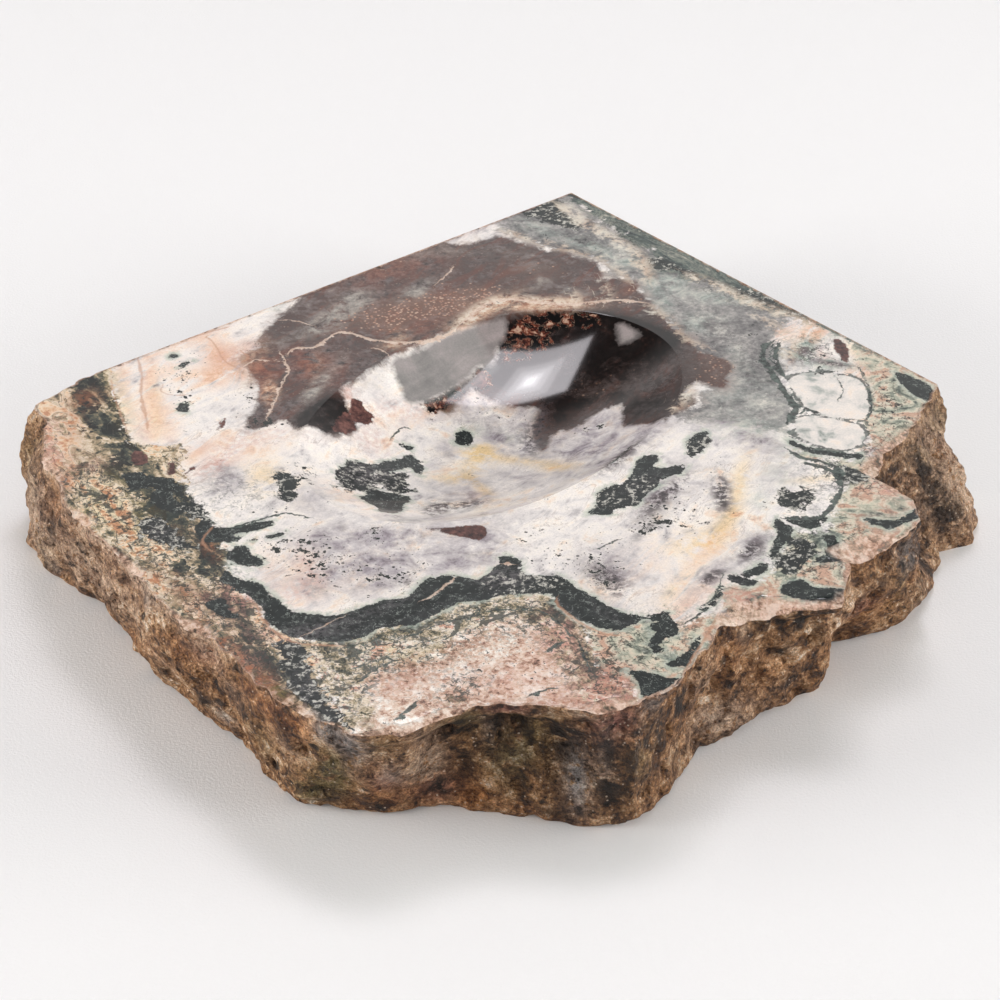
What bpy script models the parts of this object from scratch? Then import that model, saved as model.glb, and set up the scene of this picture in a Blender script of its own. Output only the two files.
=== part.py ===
"""Stone tray: one slab of patterned jasper with an oval dish ground into its top.

The stone starts as a rough slab, a loft between the outline of its foot and the
outline of its top, broken by bulges, hollows, ledges and pits. Two straight saw
cuts, at a right angle to each other, trim the back. A bowl-shaped cutter then
grinds the dish. Metres, +Z up, the origin under the middle of the stone.
"""

import math

import bmesh
import bpy
import numpy as np
from mathutils import Vector

MM = 0.001

# The slab
THICKNESS = 31 * MM
FOOT_ROUNDING = 1.6 * MM
ANGLES = 280
LEVELS = (0.0, 0.05, 0.13, 0.22, 0.33, 0.44, 0.55, 0.66, 0.77, 0.87, 0.95, 1.0)

# The top's rough outline, clockwise from the left corner, in millimetres.
# The points behind the two saw cuts are spare stone.
TOP_OUTLINE = (
    (-115, 7), (-111, 1), (-109, -19), (-105, -23), (-101, -37), (-97.5, -42.5),
    (-92, -49), (-85, -60), (-80, -68), (-74, -76), (-69, -84), (-63, -89),
    (-47, -111), (-36, -119), (-31, -123), (-21, -123.5), (-12, -117.5), (-4, -114),
    (4, -113.5), (12.5, -114), (21, -115.5), (29.5, -113), (38, -107), (42, -98),
    (48, -86), (57, -79.5), (66, -78.5), (76, -76.5), (77.5, -67), (80, -59),
    (91, -51), (98, -42.5), (95, -30), (90.5, -23), (92.5, -14), (101, 2),
    (107, 14), (109, 19.5), (108, 36), (70, 96), (22, 146), (-30, 108),
    (-75, 62), (-97, 29),
)
FOOT_OUTLINE = (
    (-118, 9), (-117.5, -7), (-111.5, -19), (-102, -29), (-93, -35), (-88.5, -43),
    (-81, -57), (-73, -70), (-66.5, -78), (-60.5, -84), (-55.5, -90), (-51.5, -101),
    (-43, -110), (-34.5, -112), (-21.5, -112), (-13, -110), (0, -112), (9, -115),
    (21.5, -116.5), (32.5, -110), (42, -96), (45, -89), (59, -76.5), (73.5, -65),
    (77.5, -50), (90, -43.5), (104, -29), (108, -16), (110, -10), (118, -6.5),
    (120.3, 2), (120, 12), (112, 40), (70, 96), (22, 146), (-30, 108),
    (-75, 66), (-104, 34),
)

# How far the wall swells (or, below zero, hollows) half way up: degrees, mm
BELLY = (
    (0, 2.5), (12, 1.0), (30, 0), (150, 0), (165, 0.6), (174, 0.2), (184, 1.2),
    (192, 2.6), (200, 2.0), (212, 1.0), (225, 0.8), (238, 1.6), (247, 1.0), (254, -2.2),
    (259, -1.0), (264, -4.2), (272, -4.6), (279, -2.4), (284, 1.2), (291, -0.5),
    (298, -2.6), (308, -1.2), (316, 1.6), (321, -0.6), (328, 1.4), (336, 2.4),
    (343, -1.0), (349, -4.0), (356, -0.5),
)

# Single ledges and pits: degrees, height, half width, half height, depth (mm)
LEDGES = (
    (187, 17, 5.0, 6.0, 2.2), (194, 9, 6.0, 4.0, 1.6), (203, 20, 7.0, 4.5, 1.4),
    (216, 12, 6.0, 6.0, 1.8), (229, 8, 7.0, 3.5, -1.6), (236, 20, 8.0, 5.0, 1.6),
    (249, 7, 9.0, 4.0, -2.4), (256, 15, 7.0, 4.0, -2.2), (266, 24, 16.0, 4.0, 2.6),
    (276, 20, 10.0, 6.0, 2.0), (284, 12, 4.5, 12.0, -2.0), (289, 22, 5.0, 6.0, 2.2),
    (295, 10, 6.0, 5.0, 1.6), (304, 6, 12.0, 3.5, -2.0), (312, 25, 10.0, 3.2, 3.2),
    (315, 13, 5.0, 4.0, 2.0), (324, 8, 6.0, 4.0, 1.8), (331, 21, 7.0, 6.0, -1.4),
    (338, 9, 6.0, 3.5, -1.6), (347, 24, 6.0, 6.0, 3.2), (350, 12, 5.0, 7.0, 2.2),
    (357, 8, 5.0, 5.0, -1.6), (5, 16, 5.0, 6.0, 1.4),
)

# Lumps all over the broken wall: size of a lump, its height (mm), pattern number
LUMPS = ((19.0, 2.3, 3), (8.5, 1.3, 11), (4.2, 0.6, 23))

# The two saw cuts: direction each one faces (degrees), distance from the middle
LEFT_CUT = (129.4, 83.4 * MM)
RIGHT_CUT = (40.25, 95.6 * MM)

# The dish
DISH_CENTRE = (-1.5 * MM, 6.5 * MM)
DISH_HALF_LENGTH = 56.5 * MM
DISH_HALF_WIDTH = 37.2 * MM
DISH_DEPTH = 12 * MM
DISH_TURN = math.radians(50)
DISH_STEPS = 96
DISH_RINGS = 13

# Finish of the stone, as its overall colour
STONE_COLOUR = (0.36, 0.30, 0.26, 1.0)
STONE_ROUGHNESS = 0.35


def new_collection(name):
    """Make a collection and link it to the scene."""
    collection = bpy.data.collections.new(name)
    bpy.context.scene.collection.children.link(collection)
    return collection


def stone_material():
    """The stone's material: grey-brown, half polished, no metal."""
    material = bpy.data.materials.new("jasper")
    material.use_nodes = True
    shader = material.node_tree.nodes["Principled BSDF"]
    shader.inputs["Base Color"].default_value = STONE_COLOUR
    shader.inputs["Roughness"].default_value = STONE_ROUGHNESS
    shader.inputs["Metallic"].default_value = 0.0
    return material


def lattice_value(cell, pattern):
    """A repeatable value from -1 to 1 for each whole-numbered cell corner."""
    mixed = cell[0] * 374761393 + cell[1] * 668265263 + cell[2] * 1103515245
    mixed = (mixed + pattern * 974634777) & 0xFFFFFFFF
    mixed = ((mixed ^ (mixed >> 13)) * 1274126177) & 0xFFFFFFFF
    return ((mixed ^ (mixed >> 16)) & 0xFFFF) / 32767.5 - 1.0


def soft_noise(x, y, z, pattern):
    """Smooth noise from -1 to 1: corner values blended across each unit cell."""
    corner = [np.floor(axis).astype(np.int64) for axis in (x, y, z)]
    part = [axis - low for axis, low in zip((x, y, z), corner)]
    part = [p * p * (3.0 - 2.0 * p) for p in part]
    total = np.zeros_like(x)
    for i in (0, 1):
        for j in (0, 1):
            for k in (0, 1):
                weight = (part[0] if i else 1 - part[0])
                weight = weight * (part[1] if j else 1 - part[1])
                weight = weight * (part[2] if k else 1 - part[2])
                cell = (corner[0] + i, corner[1] + j, corner[2] + k)
                total = total + weight * lattice_value(cell, pattern)
    return total


def outline_radius(outline, angle):
    """Distance of an outline from the middle, in millimetres, at each angle."""
    x, y = np.array(outline).T
    degrees = np.degrees(np.arctan2(y, x)) % 360
    order = np.argsort(degrees)
    return np.interp(angle, degrees[order], np.hypot(x, y)[order], period=360)


def ledge_depth(angle, height, radius):
    """Sum of the single ledges and pits, in millimetres into the wall."""
    depth = np.zeros_like(radius)
    for centre, middle, half_width, half_height, amount in LEDGES:
        turn = (angle - centre + 180) % 360 - 180
        across = np.radians(turn) * radius / half_width
        along = (height - middle) / half_height
        depth += amount * np.exp(-across ** 2 - along ** 2)
    return depth


def lump_height(x, y, height, fade):
    """Lumps all over the wall, in millimetres outward."""
    rise = np.zeros_like(x)
    for size, amount, pattern in LUMPS:
        rise += amount * soft_noise(x / size, y / size, height / size, pattern)
    return rise * fade


def wall_points():
    """Points of the rough wall as one array: level, angle, then x, y, z."""
    level = np.array(LEVELS)[:, None]
    angle = (np.arange(ANGLES) * 360.0 / ANGLES)[None, :]
    height = level * THICKNESS / MM + np.zeros_like(angle)
    angle = angle + np.zeros_like(level)
    foot = outline_radius(FOOT_OUTLINE, angle)
    top = outline_radius(TOP_OUTLINE, angle)
    belly = np.interp(angle, *np.array(BELLY).T, period=360)
    radius = foot + (top - foot) * level + belly * np.sin(np.pi * level)
    fade = np.clip((1 - level) / 0.14, 0.25, 1) * np.clip(level / 0.10, 0.5, 1)
    x = radius * np.cos(np.radians(angle))
    y = radius * np.sin(np.radians(angle))
    radius = radius + lump_height(x, y, height, fade)
    radius = radius - ledge_depth(angle, height, radius) * fade
    radius = radius - FOOT_ROUNDING / MM * np.clip(1 - level / 0.05, 0, 1)
    x = radius * np.cos(np.radians(angle))
    y = radius * np.sin(np.radians(angle))
    return np.stack([x, y, height], axis=-1) * MM


def rough_slab(collection):
    """Loft the broken wall and close it with a flat foot and a flat top."""
    mesh = bpy.data.meshes.new("stone_tray")
    shape = bmesh.new()
    rings = [[shape.verts.new(Vector(point)) for point in ring] for ring in wall_points()]
    for lower, upper in zip(rings, rings[1:]):
        for i in range(ANGLES):
            j = (i + 1) % ANGLES
            shape.faces.new((lower[i], lower[j], upper[j], upper[i]))
    shape.faces.new(reversed(rings[0]))
    shape.faces.new(rings[-1])
    shape.to_mesh(mesh)
    shape.free()
    stone = bpy.data.objects.new("stone_tray", mesh)
    collection.objects.link(stone)
    return stone


def as_cutter(cutter, collection):
    """File an object with the cutters, and nowhere else: wire only, not rendered."""
    for owner in list(cutter.users_collection):
        owner.objects.unlink(cutter)
    collection.objects.link(cutter)
    cutter.display_type = "WIRE"
    cutter.hide_render = True
    return cutter


def saw_block(name, cut, collection):
    """A block whose near face is the saw cut, upright, facing away from the middle."""
    facing, distance = math.radians(cut[0]), cut[1]
    size = 0.4
    reach = distance + size / 2
    bpy.ops.mesh.primitive_cube_add(size=size, location=(
        reach * math.cos(facing), reach * math.sin(facing), THICKNESS / 2))
    block = bpy.context.object
    block.name = name
    block.rotation_euler.z = facing
    return as_cutter(block, collection)


def dish_profile():
    """Half section of the bowl: a parabola carried 15 % past the rim, then closed."""
    rings = np.linspace(0.0, 1.15, DISH_RINGS)
    curve = [(r * DISH_HALF_LENGTH, DISH_DEPTH * (r * r - 1.0)) for r in rings]
    return [(0.0, curve[-1][1])] + curve[::-1]


def dish_bowl(collection):
    """Turn the bowl's section with Screw, then narrow it to an oval."""
    mesh = bpy.data.meshes.new("dish_bowl")
    profile = dish_profile()
    points = [(x, 0.0, z) for x, z in profile]
    edges = [(i, i + 1) for i in range(len(points) - 1)]
    mesh.from_pydata(points, edges, [])
    bowl = bpy.data.objects.new("dish_bowl", mesh)
    bowl.location = (*DISH_CENTRE, THICKNESS)
    bowl.rotation_euler.z = DISH_TURN
    bowl.scale = (1.0, DISH_HALF_WIDTH / DISH_HALF_LENGTH, 1.0)
    screw = bowl.modifiers.new("turn", "SCREW")
    screw.steps = DISH_STEPS
    screw.render_steps = DISH_STEPS
    screw.use_merge_vertices = True
    screw.merge_threshold = 0.00005
    return as_cutter(bowl, collection)


def cut_away(stone, cutter):
    """Take a cutter's shape out of the stone."""
    cut = stone.modifiers.new(cutter.name, "BOOLEAN")
    cut.operation = "DIFFERENCE"
    cut.solver = "EXACT"
    cut.object = cutter


def build():
    """Model the stone tray."""
    for old in list(bpy.data.objects):
        bpy.data.objects.remove(old)
    tray = new_collection("stone tray")
    cutters = new_collection("cutters")
    stone = rough_slab(tray)
    stone.data.materials.append(stone_material())
    cut_away(stone, saw_block("left_saw_cut", LEFT_CUT, cutters))
    cut_away(stone, saw_block("right_saw_cut", RIGHT_CUT, cutters))
    cut_away(stone, dish_bowl(cutters))


if __name__ == "__main__":
    build()
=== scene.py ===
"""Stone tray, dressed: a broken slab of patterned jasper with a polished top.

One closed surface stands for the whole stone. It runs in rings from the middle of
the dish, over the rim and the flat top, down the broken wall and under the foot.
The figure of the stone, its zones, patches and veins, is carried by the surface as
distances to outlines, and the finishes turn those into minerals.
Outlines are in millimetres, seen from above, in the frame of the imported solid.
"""

import logging
import math
from dataclasses import dataclass, field
from enum import Enum
from functools import partial, reduce

import bpy
import numpy as np
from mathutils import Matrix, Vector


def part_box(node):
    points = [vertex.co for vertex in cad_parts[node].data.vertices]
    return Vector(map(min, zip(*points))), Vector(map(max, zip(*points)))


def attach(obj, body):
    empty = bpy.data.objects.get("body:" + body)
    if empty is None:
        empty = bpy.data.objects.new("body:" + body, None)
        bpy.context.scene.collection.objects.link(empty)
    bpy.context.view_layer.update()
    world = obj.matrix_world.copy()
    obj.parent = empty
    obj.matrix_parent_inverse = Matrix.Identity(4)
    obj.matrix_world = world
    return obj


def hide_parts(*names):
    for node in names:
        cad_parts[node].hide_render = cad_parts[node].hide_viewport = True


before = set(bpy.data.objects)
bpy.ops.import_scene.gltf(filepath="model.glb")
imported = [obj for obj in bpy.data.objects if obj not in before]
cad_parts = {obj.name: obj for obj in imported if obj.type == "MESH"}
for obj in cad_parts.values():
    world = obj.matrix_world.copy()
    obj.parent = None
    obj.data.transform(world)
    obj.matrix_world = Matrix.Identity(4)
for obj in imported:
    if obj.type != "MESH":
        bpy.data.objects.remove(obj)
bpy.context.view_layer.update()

MM = 0.001
LOG = logging.getLogger("stone_tray")

Array = np.ndarray
Points = tuple[tuple[float, float], ...]
Span = tuple[float, float]
Place = tuple[float, float, float]
Colour = tuple[int, int, int]
Tones = tuple[tuple[float, Colour], ...]
Node = bpy.types.Node
Socket = bpy.types.NodeSocket

# The slab's broken outline at the top and at the foot, as the solid has them
TOP_OUTLINE = (
    (-115, 7), (-111, 1), (-109, -19), (-105, -23), (-101, -37), (-97.5, -42.5),
    (-92, -49), (-85, -60), (-80, -68), (-74, -76), (-69, -84), (-63, -89),
    (-47, -111), (-36, -119), (-31, -123), (-21, -123.5), (-12, -117.5), (-4, -114),
    (4, -113.5), (12.5, -114), (21, -115.5), (29.5, -113), (38, -107), (42, -98),
    (48, -86), (57, -79.5), (66, -78.5), (76, -76.5), (77.5, -67), (80, -59),
    (91, -51), (98, -42.5), (95, -30), (90.5, -23), (92.5, -14), (101, 2),
    (107, 14), (109, 19.5), (108, 36), (70, 96), (22, 146), (-30, 108),
    (-75, 62), (-97, 29),
)
FOOT_OUTLINE = (
    (-118, 9), (-117.5, -7), (-111.5, -19), (-102, -29), (-93, -35), (-88.5, -43),
    (-81, -57), (-73, -70), (-66.5, -78), (-60.5, -84), (-55.5, -90), (-51.5, -101),
    (-43, -110), (-34.5, -112), (-21.5, -112), (-13, -110), (0, -112), (9, -115),
    (21.5, -116.5), (32.5, -110), (42, -96), (45, -89), (59, -76.5), (73.5, -65),
    (77.5, -50), (90, -43.5), (104, -29), (108, -16), (110, -10), (118, -6.5),
    (120.3, 2), (120, 12), (112, 40), (70, 96), (22, 146), (-30, 108),
    (-75, 66), (-104, 34),
)

# How far the wall swells half way up (degrees, mm), and its single ledges and pits
# (degrees, height, half width, half height, depth in mm), as the solid has them
BELLY = (
    (0, 2.5), (12, 1.0), (30, 0), (150, 0), (165, 0.6), (174, 0.2), (184, 1.2),
    (192, 2.6), (200, 2.0), (212, 1.0), (225, 0.8), (238, 1.6), (247, 1.0), (254, -2.2),
    (259, -1.0), (264, -4.2), (272, -4.6), (279, -2.4), (284, 1.2), (291, -0.5),
    (298, -2.6), (308, -1.2), (316, 1.6), (321, -0.6), (328, 1.4), (336, 2.4),
    (343, -1.0), (349, -4.0), (356, -0.5),
)
LEDGES = (
    (187, 17, 5.0, 6.0, 2.2), (194, 9, 6.0, 4.0, 1.6), (203, 20, 7.0, 4.5, 1.4),
    (216, 12, 6.0, 6.0, 1.8), (229, 8, 7.0, 3.5, -1.6), (236, 20, 8.0, 5.0, 1.6),
    (249, 7, 9.0, 4.0, -2.4), (256, 15, 7.0, 4.0, -2.2), (266, 24, 16.0, 4.0, 2.6),
    (276, 20, 10.0, 6.0, 2.0), (284, 12, 4.5, 12.0, -2.0), (289, 22, 5.0, 6.0, 2.2),
    (295, 10, 6.0, 5.0, 1.6), (304, 6, 12.0, 3.5, -2.0), (312, 25, 10.0, 3.2, 3.2),
    (315, 13, 5.0, 4.0, 2.0), (324, 8, 6.0, 4.0, 1.8), (331, 21, 7.0, 6.0, -1.4),
    (338, 9, 6.0, 3.5, -1.6), (347, 24, 6.0, 6.0, 3.2), (350, 12, 5.0, 7.0, 2.2),
    (357, 8, 5.0, 5.0, -1.6), (5, 16, 5.0, 6.0, 1.4),
)

# Lumps: size, height (mm), pattern number. The solid has the first three.
LUMPS = ((19.0, 2.3, 3), (8.5, 1.3, 11), (4.2, 0.6, 23))
GRAIN_LUMPS = ((3.1, 0.85, 41), (1.6, 0.45, 57))

# The two saw cuts: direction each one faces (degrees), distance from the middle
SAW_CUTS = ((129.4, 83.4), (40.25, 95.6))

# Where the top's rim is chipped: degrees, half width (degrees), reach in, drop (mm)
CHIPS = (
    (305.5, 4.5, 5.5, 2.2), (313.5, 2.5, 2.5, 1.0), (327.0, 3.6, 6.5, 2.4),
    (346.0, 4.0, 4.5, 1.6), (355.5, 3.0, 3.0, 0.9), (281.5, 2.0, 3.0, 0.8),
    (262.0, 3.5, 2.2, 0.7), (249.0, 2.5, 2.6, 0.8), (232.0, 2.4, 3.0, 0.9),
    (216.0, 3.2, 2.4, 0.7), (203.0, 2.0, 3.0, 1.0), (190.0, 3.0, 2.6, 0.8),
)

# Patches of each kind of stone, and one of painted reflection: closed outlines, seen from above
CHERT = (
    ((-52, 66), (-57.7, 53), (-59.5, 47.7), (-62.3, 41.4), (-61.4, 37.7), (-65.5, 33),
     (-63.6, 26), (-62.3, 22), (-60, 19), (-60, 8), (-61.4, 4), (-61.8, -2.3),
     (-57.7, -1.8), (-52.3, 1.8), (-49.5, -2.3), (-46.4, -0.8), (-42, -0.4),
     (-38.4, 1.4), (-35.9, 3.6), (-34.7, 6.5), (-37, 9.5), (-38, 13), (-39.5, 17),
     (-36, 21), (-30, 29.5), (-20, 40), (-10, 47.8), (-3, 50.5), (-1.6, 46), (-1, 41),
     (-6.4, 36), (-5.8, 29.6), (-1, 26.6), (5, 25), (9.4, 23.6),
     (8.7, 17), (8.4, 13.6), (9.4, 7), (10.9, 5), (12.3, 8.6), (13, 12.9),
     (15.9, 13.6), (19.4, 14.3), (22.3, 17), (25.1, 18.9), (29.4, 20), (30.5, 17.9),
     (30, 11.4), (31.2, 7.9), (35, 5), (36.6, 2), (39.4, 2.9), (40.5, 0.5),
     (42.3, 4), (46.8, 7.7), (48.6, 11.4), (45.9, 14), (47.7, 18.6), (49.5, 20.5),
     (53.2, 17.7), (56.4, 17.7), (56.8, 22.3), (58.6, 26.8), (57.3, 30.5), (54, 34),
     (50.5, 36), (48.6, 41.4), (45.9, 46), (43.2, 52.3), (40.5, 57.7), (39.5, 61.4),
     (36.8, 66.8), (35, 73), (31.4, 74), (26.8, 74), (27.3, 79.5), (26.4, 82.3),
     (23.2, 85), (19.5, 86), (16.8, 90.5), (13.2, 89.5), (9.5, 91.4), (6.8, 93),
     (3.2, 96), (-0.5, 98.6), (-3.2, 96.8), (-8, 93.5), (-13, 94), (-17, 95.5),
     (-30, 104), (-60, 80)),
    ((-4.5, 36.5), (-3.8, 34), (-5, 30.5), (-7, 30), (-9, 26.5), (-12, 21.5),
     (-14, 20), (-17, 21), (-19.5, 19.5), (-19, 22), (-15, 26), (-11, 30), (-7.5, 33.5)),
)
MAROON = (
    ((-36.8, 14.6), (-34.6, 16), (-33.6, 13.4), (-31.6, 12.6), (-31.9, 9.6), (-34, 8),
     (-36.6, 8.6)),
    ((-38.6, 9.2), (-36.6, 9), (-35.4, 6.2), (-36.4, 3.8), (-39.6, 1.6), (-41, 3.6)),
    ((-4.5, 36.5), (-3.6, 33.5), (-5, 30.8), (-6.6, 32), (-6, 35)),
    ((85, 41.5), (87.6, 41), (88.6, 35), (87.4, 29.4), (86, 33), (85.2, 37)),
    ((-87.6, -12.4), (-86, -13), (-84.2, -16), (-85, -19), (-87.4, -19), (-88.2, -15.6)),
    ((-78.8, -17.6), (-77.4, -18), (-76.8, -22), (-78.6, -23), (-79, -20)),
    ((-71, -18), (-72.6, -20), (-75.6, -25), (-76.4, -27), (-73.4, -19.8)),
    ((-67.4, 2.4), (-67.2, -1), (-68.6, -3), (-68.2, 0)),
    ((-17.8, -45.8), (-10, -45.2), (-4.4, -44.8), (-2.6, -47.6), (-4.4, -51), (-10, -49)),
)
SLATE = (
    ((-61, -61.4), (-61, -64), (-57.3, -66.8), (-53.6, -68.6), (-51, -72.3),
     (-48.2, -76), (-44.5, -79.5), (-39, -80.5), (-34.5, -80), (-30, -77.3),
     (-25.5, -75), (-20, -73.2), (-17.3, -67.7), (-12.7, -65), (-10, -65.5),
     (-5, -66.8), (-2.3, -64), (-0.9, -60.5), (0, -57.7), (3.2, -57.7), (5, -60.5),
     (4.5, -63.2), (6.8, -65), (13.2, -65), (15.9, -68.6), (19.5, -72.3), (24, -76.8),
     (26.8, -79.5), (31.4, -80.5), (35, -79), (37.3, -80), (37.7, -84), (31.4, -81.4),
     (29.5, -84), (25.9, -86), (22.3, -85), (17.7, -82.3), (14.5, -78.6), (12.3, -76),
     (11.8, -72.3), (8.6, -72.3), (4, -72.3), (-0.5, -73.6), (-5, -75), (-8.2, -75),
     (-12.7, -78.6), (-17.3, -83), (-21.8, -85), (-27.3, -86), (-31, -89.5),
     (-35.5, -90.5), (-39, -90), (-43.6, -89.5), (-48.2, -86), (-51.8, -82.3),
     (-52.7, -76.8), (-56.4, -73.2), (-60, -69.5), (-62.7, -66)),
    ((36, -82), (39.5, -84), (38, -88), (35, -91), (36, -94), (33, -94.5), (32, -91),
     (34, -87), (32, -85)),
    ((36, -98), (40, -94), (43.5, -88), (43, -92), (41, -97), (40, -99.5), (37, -99.5)),
    ((27.5, -101), (31, -101.5), (35, -103), (39, -104), (37, -107), (35, -111),
     (33, -113.5), (30.5, -111), (29.5, -106)),
    ((-21.5, 1.5), (-20.8, -1.5), (-22, -4.5), (-25, -6.5), (-28, -9), (-31, -11),
     (-30, -14), (-33, -16), (-37, -18), (-40, -17), (-39, -14), (-37.5, -11),
     (-36, -8.5), (-33, -7), (-30.5, -6.5), (-28, -4), (-25, -2), (-23.5, 0.5)),
    ((-20, 0), (-18.8, -1), (-18.5, -5), (-19.5, -7.5), (-21, -5), (-20.5, -2)),
    ((-32, -20.5), (-28, -19.5), (-24, -20.5), (-21.5, -20.5), (-21.5, -24), (-23, -26),
     (-23, -31), (-25, -34.5), (-28, -34), (-30, -30), (-33, -27), (-31.5, -24)),
    ((21, -40), (25.5, -40), (27, -38), (31, -36.5), (35, -31), (38, -26), (40, -24),
     (43, -22), (44.5, -18.5), (41, -19), (38, -20.5), (36.5, -19), (38, -14.5),
     (35.5, -14), (33, -17), (32, -20), (31.5, -23), (28, -27), (24.5, -29),
     (22.5, -33), (22.5, -37), (21, -39)),
    ((44.5, -15), (45, -10), (46, -6), (48.5, -4), (50, -4), (51, -7), (53, -7),
     (50.5, -9), (49, -12), (47.5, -14), (45, -16.5)),
    ((-89, -22.5), (-86, -22), (-82, -24), (-77, -25), (-74.5, -29), (-75.5, -30.5),
     (-79, -31), (-82, -29), (-87, -29.5), (-88.5, -26)),
    ((-82, -31), (-78.5, -30.5), (-76, -34), (-73, -38), (-74, -40), (-78, -38.5),
     (-81, -36)),
    ((-70, -44), (-67.5, -41), (-66, -45), (-61, -45.5), (-57, -43.5), (-53, -42.8),
     (-52.5, -44.5), (-57, -47), (-62, -48.5), (-60, -50), (-55, -49.5), (-49.5, -47),
     (-50, -49), (-56, -51), (-63, -51.5), (-67, -52), (-69, -50)),
    ((-61, -54), (-58, -53.5), (-56, -57), (-53.5, -60), (-56, -62), (-60, -60),
     (-62, -57)),
    ((-65, -75), (-61, -74), (-60, -78), (-57, -81), (-60, -82), (-64, -79)),
    ((62, -70.5), (64, -68), (67.5, -67), (70, -70), (76.5, -70.5), (77, -75),
     (72, -75.5), (66, -74.5), (62.5, -72.5)),
    ((73.5, -49), (77, -49), (77, -54), (78, -58), (76.5, -60), (71, -60), (70.5, -58),
     (74, -57), (74.5, -52)),
    ((84.5, -41.5), (90, -42.5), (95, -39.5), (98.5, -35.5), (98, -39.5), (93, -44.5),
     (89, -46), (85.5, -44)),
    ((99, 25), (104, 22), (108, 15), (107.5, 10), (104, 12), (101, 17)),
    ((70.5, -7.7), (74, -10.5), (79.5, -12.7), (86, -13.6), (86.4, -16), (82.3, -15.5),
     (76.8, -14), (72.3, -11.8), (70, -9.5)),
    ((64, -41.5), (68, -42.5), (73, -42), (75.5, -41.5), (74, -45), (71, -46),
     (68, -45), (65, -43)),
    ((63.5, -42.5), (67.5, -45), (66, -49), (64, -54), (61.5, -59), (59, -64),
     (55.5, -66.5), (53, -64.5), (55.5, -63.5), (59, -60), (62, -53.5), (63.8, -46)),
    ((52, -64), (57.7, -67.5), (54, -69), (50.5, -68), (49.5, -72), (48, -76),
     (45.5, -78.5), (44, -78), (47, -75), (49, -70), (50.5, -66)),
    ((-10.6, 13.4), (-7.6, 14), (-6.2, 10.4), (-8.4, 8.6), (-11, 9.8)),
    ((-25.5, 5), (-24.5, 3.4), (-22.5, 2.6), (-21, 4.8), (-22.2, 4.6), (-24, 5)),
    ((-83, 34), (-81.8, 33), (-82.4, 31.6), (-83.8, 32.4)),
    ((-80, 7.6), (-78, 9.4), (-75.8, 7.6), (-76.6, 5.6), (-79, 6)),
    ((-81, 29.4), (-79.4, 30.4), (-77.6, 30.6), (-78.6, 28.2), (-80.6, 26.6)),
)
CRACKLED_SLATE = (
    ((-31, -11), (-27, -9.5), (-24, -8), (-22, -9), (-22.5, -12), (-21, -14),
     (-21, -18), (-23, -20.5), (-26, -20), (-28, -18), (-29.5, -16), (-33, -16.5),
     (-36, -18), (-38, -21), (-40, -24), (-35, -24), (-32, -22), (-30, -20)),
    ((-36, -8), (-31, -9), (-28, -16), (-33, -21), (-38, -22), (-39, -16)),
    ((-49, -92), (-42, -91), (-41, -98), (-39, -105), (-35, -112), (-31, -120),
     (-35, -121), (-41, -113), (-46, -104)),
    ((-84, -42), (-79, -41), (-76, -44), (-72, -50), (-69, -54), (-74, -54),
     (-79, -52), (-83, -47)),
    ((0, -64.5), (13, -65.5), (14, -70), (10, -72), (4, -72), (-2, -73), (-4, -70)),
    ((66, -29.5), (69, -29), (73.5, -29.5), (74, -33), (72, -37), (68, -38),
     (65, -36), (65.5, -32)),
    ((22.6, -37), (24, -30), (29, -27.5), (34, -24), (37, -25), (33, -33), (28, -37)),
    ((44.5, -14), (47, -6), (51, -6), (50, -11)),
    ((67, -51), (71, -50), (72, -56), (69, -62), (64, -64), (62, -60), (65, -55)),
    ((80, -19), (84, -20), (88, -22), (86, -26), (82, -27), (79.5, -24)),
    ((-54, -23), (-49, -22), (-47.5, -28), (-48, -34), (-51, -35), (-53, -30)),
    ((-75, -36), (-70, -34), (-68, -38), (-66, -44), (-70, -43), (-73, -40)),
    ((4, 112), (11, 117.5), (16, 120), (18, 112), (22, 107), (23, 102), (19, 101.5),
     (12, 106), (7, 110)),
    ((40, 85), (44, 86), (47, 82), (52, 78), (58, 72), (61, 70), (56, 69), (50, 75),
     (44, 79), (41, 80)),
    ((60, 66), (66, 61), (72, 56), (77, 52), (79, 54), (70, 64), (63, 69)),
)
GREY = (
    ((-20, 100), (-5, 106), (5, 96), (10, 91), (20, 86), (27, 82), (27, 74), (35, 73),
     (38, 60), (43, 46), (47, 36), (52, 27), (50, 14), (46, 9),
     (42, 4), (46, 2), (55, 0), (62, -3), (69, -3), (72, 5), (73, 12), (71, 20),
     (71.5, 28), (70.5, 42), (75, 50), (76, 56), (60, 76), (50, 84), (42, 92), (38, 98),
     (30, 106), (25, 114), (20, 126), (0, 112)),
)
GREEN = (
    ((77, 52), (84, 47), (90, 43), (91, 28), (92, 20), (91, 8), (89, 1), (89, -8),
     (87, -16), (80, -17), (74, -14), (70, -9), (72, -15), (81, -21), (80.5, -30),
     (78, -38), (75, -47), (68, -48), (64, -56), (60, -66), (54, -69), (49, -71),
     (52, -82), (80, -84), (108, -50), (118, 0), (116, 45), (95, 55), (84, 60)),
    ((22, -84), (37, -82), (42, -84), (45, -80), (50, -80), (50, -88), (42, -102),
     (36, -114), (30, -115), (28, -108), (21, -101), (20, -95), (18, -88)),
)
MOSS = (
    ((25, 112), (31, 104), (33, 97), (38, 92), (42, 84), (41, 79), (50, 74), (58, 70),
     (63, 62), (70, 56), (77, 52), (84, 46), (92, 38), (100, 30), (110, 38), (70, 90),
     (20, 135), (18, 122), (22, 117)),
)
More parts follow.
